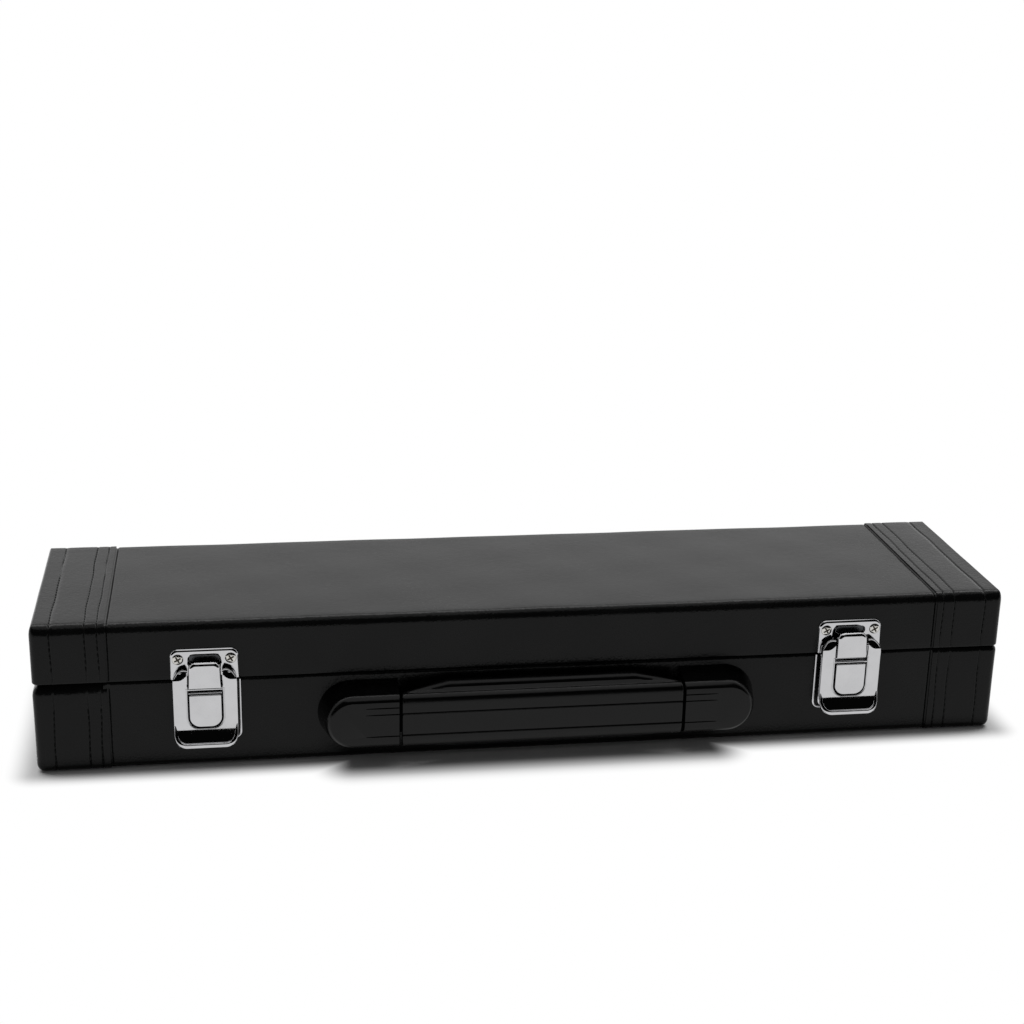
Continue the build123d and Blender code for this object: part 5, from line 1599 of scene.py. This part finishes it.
    def walls(self, half: str, far: float, rim: float, short: float) -> None:
        """Makes the wooden frame of one half and the plush on its inside, short of the wrapped rim.

        Args:
            half: The lid or the base.
            far: Height of the walls' end away from the joint.
            rim: Height of their end at the joint.
            short: How much the wooden frame stops short of the far end.
        """
        away = math.copysign(1.0, far - rim)
        nodes = [f"{half}_wall_{side}" for side in ("front", "back", "left", "right")]
        wood = self.wall_ring(half, self.frame_thick, 0.0, far - away * short, rim + away * 1.2, 2.6)
        settle(make_piece(f"{half}_wooden_frame", wood, material(Finish.WOOD)), half, "case_wood", *nodes)
        cloth = self.wall_ring(half, 0.0, -self.cloth, far - away * 2.6, rim + away * 1.8, 0.1)
        settle(make_piece(f"{half}_wall_plush", cloth, material(Finish.PLUSH)), half, "plush")

    def lid_pad(self) -> None:
        """The large pad in the lid, hanging face down with its swelling towards the base."""
        low, high = span("lid_pad")
        patch = soft_block(low, high, 1.6, 1.0)
        patch.points[:, 2] = low[2] + high[2] - patch.points[:, 2]
        self.cushion("lid_pad", patch, "lid")


# ------------------------------------------------------------------ hardware kept from the model
KEPT_NODES: dict[str, Finish] = {
    "base_bottom_sheet": Finish.COVER,
    "hinge_base_leaf_left": Finish.HINGE, "hinge_base_leaf_right": Finish.HINGE,
    "hinge_lid_leaf_left": Finish.HINGE, "hinge_lid_leaf_right": Finish.HINGE,
    "hinge_pins": Finish.HINGE, "lever_pins": Finish.CHROME,
    "hasp_pin_left": Finish.CHROME, "hasp_pin_right": Finish.CHROME,
    "hinge_base_screws": Finish.HINGE, "hinge_lid_screws": Finish.HINGE,
    "latch_plate_screws": Finish.HINGE, "handle_screws": Finish.ZINC,
    # the core and strips seen in the handle's gaps take the near-black painted shade finish
    "grip_core": Finish.SHADE_BLACK, "strap_strip_left": Finish.SHADE_BLACK, "strap_strip_right": Finish.SHADE_BLACK,
}


def dress_kept_nodes() -> None:
    """Gives every node that still shows its finish; the wooden walls and panels are plywood."""
    for name, node in frame["nodes"].items():
        if node.hide_render:
            continue
        finish = KEPT_NODES.get(name, Finish.WOOD)
        node.data.materials.clear()
        node.data.materials.append(material(finish))
        log.info("kept %s in %s", name, finish.name.lower())


# ------------------------------------------------------------------ studio
@dataclass
class Studio:
    """White floor, soft light from above and behind, a black card in front, and the camera; all in metres."""

    eye: tuple[float, float, float] = (-0.12252, -0.74954, 0.34954)
    aim: tuple[float, float, float] = (-0.01113, -0.05, 0.1099)
    roll: float = 1.268
    focal_length: float = 63.27
    sensor: float = 36.0
    floor_size: float = 30.0
    floor_white: tuple[float, float, float] = (0.86, 0.86, 0.86)
    sky: float = 0.12
    shadow_reach: tuple[float, float] = (0.0, 0.014)
    handle_shadow: tuple[float, float] = (0.078, 0.057)
    handle_reach: tuple[float, float] = (0.0, 0.020)
    key_power: float = 28.0
    key_size: tuple[float, float] = (2.4, 0.9)
    key_place: tuple[float, float, float] = (0.0, 0.5, 1.3)
    gleam_power: float = 16.0
    gleam_size: tuple[float, float] = (3.0, 0.42)
    gleam_place: tuple[float, float, float] = (0.0, 0.54, 1.15)
    card_black: tuple[float, float, float, float] = (0.003, 0.003, 0.003, 1.0)
    card_radius: float = 2.6
    card_rise: tuple[float, float] = (1.5, 64.0)
    card_reach: float = 82.0

    def camera(self) -> None:
        """Camera with no shift and no depth of field, turned about its own axis by the roll."""
        data = bpy.data.cameras.new("camera")
        data.lens = self.focal_length
        data.sensor_width = self.sensor
        data.sensor_fit = "HORIZONTAL"
        data.clip_start = 0.01
        camera = bpy.data.objects.new("camera", data)
        bpy.context.scene.collection.objects.link(camera)
        look = (Vector(self.aim) - Vector(self.eye)).to_track_quat("-Z", "Y")
        camera.rotation_mode = "QUATERNION"
        camera.rotation_quaternion = look @ Quaternion((0, 0, 1), math.radians(self.roll))
        camera.location = self.eye
        bpy.context.scene.camera = camera

    def beyond(self, nodes: Nodes, low: tuple[float, float], high: tuple[float, float],
               reach: tuple[float, float]) -> bpy.types.NodeSocket:
        """Rises from 0 to 1 with the distance from a rectangle on the floor.

        The distance is the length of whatever of |place - middle| lies past the half sides.

        Args:
            nodes: The floor's nodes.
            low: Lower corner of the rectangle.
            high: Upper corner.
            reach: Distances at which the rise starts and ends.

        Returns:
            The share.
        """
        half_x, half_y = (high[0] - low[0]) / 2, (high[1] - low[1]) / 2
        moved = nodes.add("ShaderNodeVectorMath", operation="ADD")
        nodes.link(nodes.place, moved.inputs[0])
        moved.inputs[1].default_value = (-(low[0] + half_x), -(low[1] + half_y), 0.0)
        outside = nodes.add("ShaderNodeVectorMath", operation="ABSOLUTE")
        nodes.link(moved.outputs["Vector"], outside.inputs[0])
        past = nodes.add("ShaderNodeVectorMath", operation="SUBTRACT")
        nodes.link(outside.outputs["Vector"], past.inputs[0])
        past.inputs[1].default_value = (half_x, half_y, 0.0)
        clear = nodes.add("ShaderNodeVectorMath", operation="MAXIMUM")
        nodes.link(past.outputs["Vector"], clear.inputs[0])
        distance = nodes.add("ShaderNodeVectorMath", operation="LENGTH")
        nodes.link(clear.outputs["Vector"], distance.inputs[0])
        return nodes.ramp(distance.outputs["Value"], *reach, 0.0, 1.0)

    def floor(self) -> None:
        """Matt white floor that takes the shadows close to the case and its handle and glows plain white beyond."""
        nodes = Nodes("white_floor")
        nodes.set(Roughness=1.0, Specular_IOR_Level=0.0)
        nearer = nodes.add("ShaderNodeMath", operation="MINIMUM")
        case_low, case_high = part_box("base_band_left")[0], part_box("base_band_right")[1]
        nodes.link(self.beyond(nodes, case_low, case_high, self.shadow_reach), nearer.inputs[0])
        reach, front = self.handle_shadow
        nodes.link(self.beyond(nodes, (-reach, -front), (reach, 0.0), self.handle_reach), nearer.inputs[1])
        far = nearer.outputs[0]
        nodes.drive("Base Color", nodes.mix(far, self.floor_white, (0.0, 0.0, 0.0)))
        nodes.surface.inputs["Emission Color"].default_value = (1.0, 1.0, 1.0, 1.0)
        nodes.drive("Emission Strength", far)
        half = self.floor_size / 2
        mesh = bpy.data.meshes.new("floor")
        mesh.from_pydata([(-half, -half, 0), (half, -half, 0), (half, half, 0), (-half, half, 0)], [], [(0, 1, 2, 3)])
        mesh.materials.append(nodes.material)
        floor = bpy.data.objects.new("floor", mesh)
        bpy.context.scene.collection.objects.link(floor)
        log.info("floor %s", floor.name)

    def world(self) -> None:
        """White for the camera, reflections and clear materials, and a low even fill for the rest."""
        world = bpy.data.worlds.new("studio")
        bpy.context.scene.world = world
        world.use_nodes = True
        tree = world.node_tree
        tree.nodes.clear()
        output = tree.nodes.new("ShaderNodeOutputWorld")
        back = tree.nodes.new("ShaderNodeBackground")
        path = tree.nodes.new("ShaderNodeLightPath")
        white = path.outputs["Is Camera Ray"]
        for ray in ("Is Glossy Ray", "Is Transmission Ray"):
            either = tree.nodes.new("ShaderNodeMath")
            either.operation = "MAXIMUM"
            tree.links.new(white, either.inputs[0])
            tree.links.new(path.outputs[ray], either.inputs[1])
            white = either.outputs[0]
        strength = tree.nodes.new("ShaderNodeMapRange")
        strength.inputs["To Min"].default_value = self.sky
        tree.links.new(white, strength.inputs["Value"])
        back.inputs["Color"].default_value = (1.0, 1.0, 1.0, 1.0)
        tree.links.new(strength.outputs["Result"], back.inputs["Strength"])
        tree.links.new(back.outputs[0], output.inputs["Surface"])

    def card(self) -> None:
        """Black card bent around the front of the case, seen only in its reflections.

        It is a patch of a sphere around the case: azimuth runs along its columns and elevation up its rows.
        """
        nodes = Nodes("black_card")
        nodes.set(Base_Color=self.card_black, Roughness=1.0, Specular_IOR_Level=0.0)
        azimuth = np.radians(np.linspace(-self.card_reach, self.card_reach, 41))[None, :]
        rise = np.radians(np.linspace(*self.card_rise, 17))[:, None]
        points = self.card_radius / MM * np.stack([
            np.cos(rise) * np.sin(azimuth), -np.cos(rise) * np.cos(azimuth), np.sin(rise) + 0 * azimuth,
        ], -1)
        card = make_piece("black_card", grid(points), nodes.material, Closing.SHEET)
        for ray in ("camera", "diffuse", "shadow", "transmission"):
            setattr(card, f"visible_{ray}", False)

    def lights(self) -> None:
        """A wide soft light above and behind for the shapes, and a long one there that gleams on the lid's edge."""
        key = self.light("key", self.key_power, self.key_size, self.key_place)
        key.visible_glossy = False
        gleam = self.light("gleam", self.gleam_power, self.gleam_size, self.gleam_place)
        gleam.visible_diffuse = False

    def light(self, name: str, power: float, size: tuple[float, float],
              place: tuple[float, float, float]) -> bpy.types.Object:
        """A rectangular light that shines straight down, power in watts."""
        data = bpy.data.lights.new(name, "AREA")
        data.shape = "RECTANGLE"
        data.size, data.size_y = size
        data.energy = power
        light = bpy.data.objects.new(name, data)
        light.location = place
        bpy.context.scene.collection.objects.link(light)
        return light

    def build(self) -> None:
        """Builds the whole studio."""
        self.camera()
        self.floor()
        self.world()
        self.card()
        self.lights()
        bpy.context.scene.view_settings.view_transform = "Standard"


def main() -> None:
    """Builds the case's looks and the studio."""
    logging.basicConfig(level=logging.INFO, format="%(name)s: %(message)s")
    Studio().build()
    CoveredHalf("lid", 1).dress()
    CoveredHalf("base", -1, edge=3.6, edge_inset=3.6, end_inset=1.0, rim_round=1.5,
                band_rim_rounds=(5.2, 2.4)).dress()
    latches = [DrawLatch("left", plate_trim=1.8), DrawLatch("right", (0.8, 1.6))]
    for latch in latches:
        latch.dress()
    dress_strike_screws(latches)
    StrapHandle().dress()
    Lining().dress()
    dress_kept_nodes()


if __name__ == "__main__":
    main()
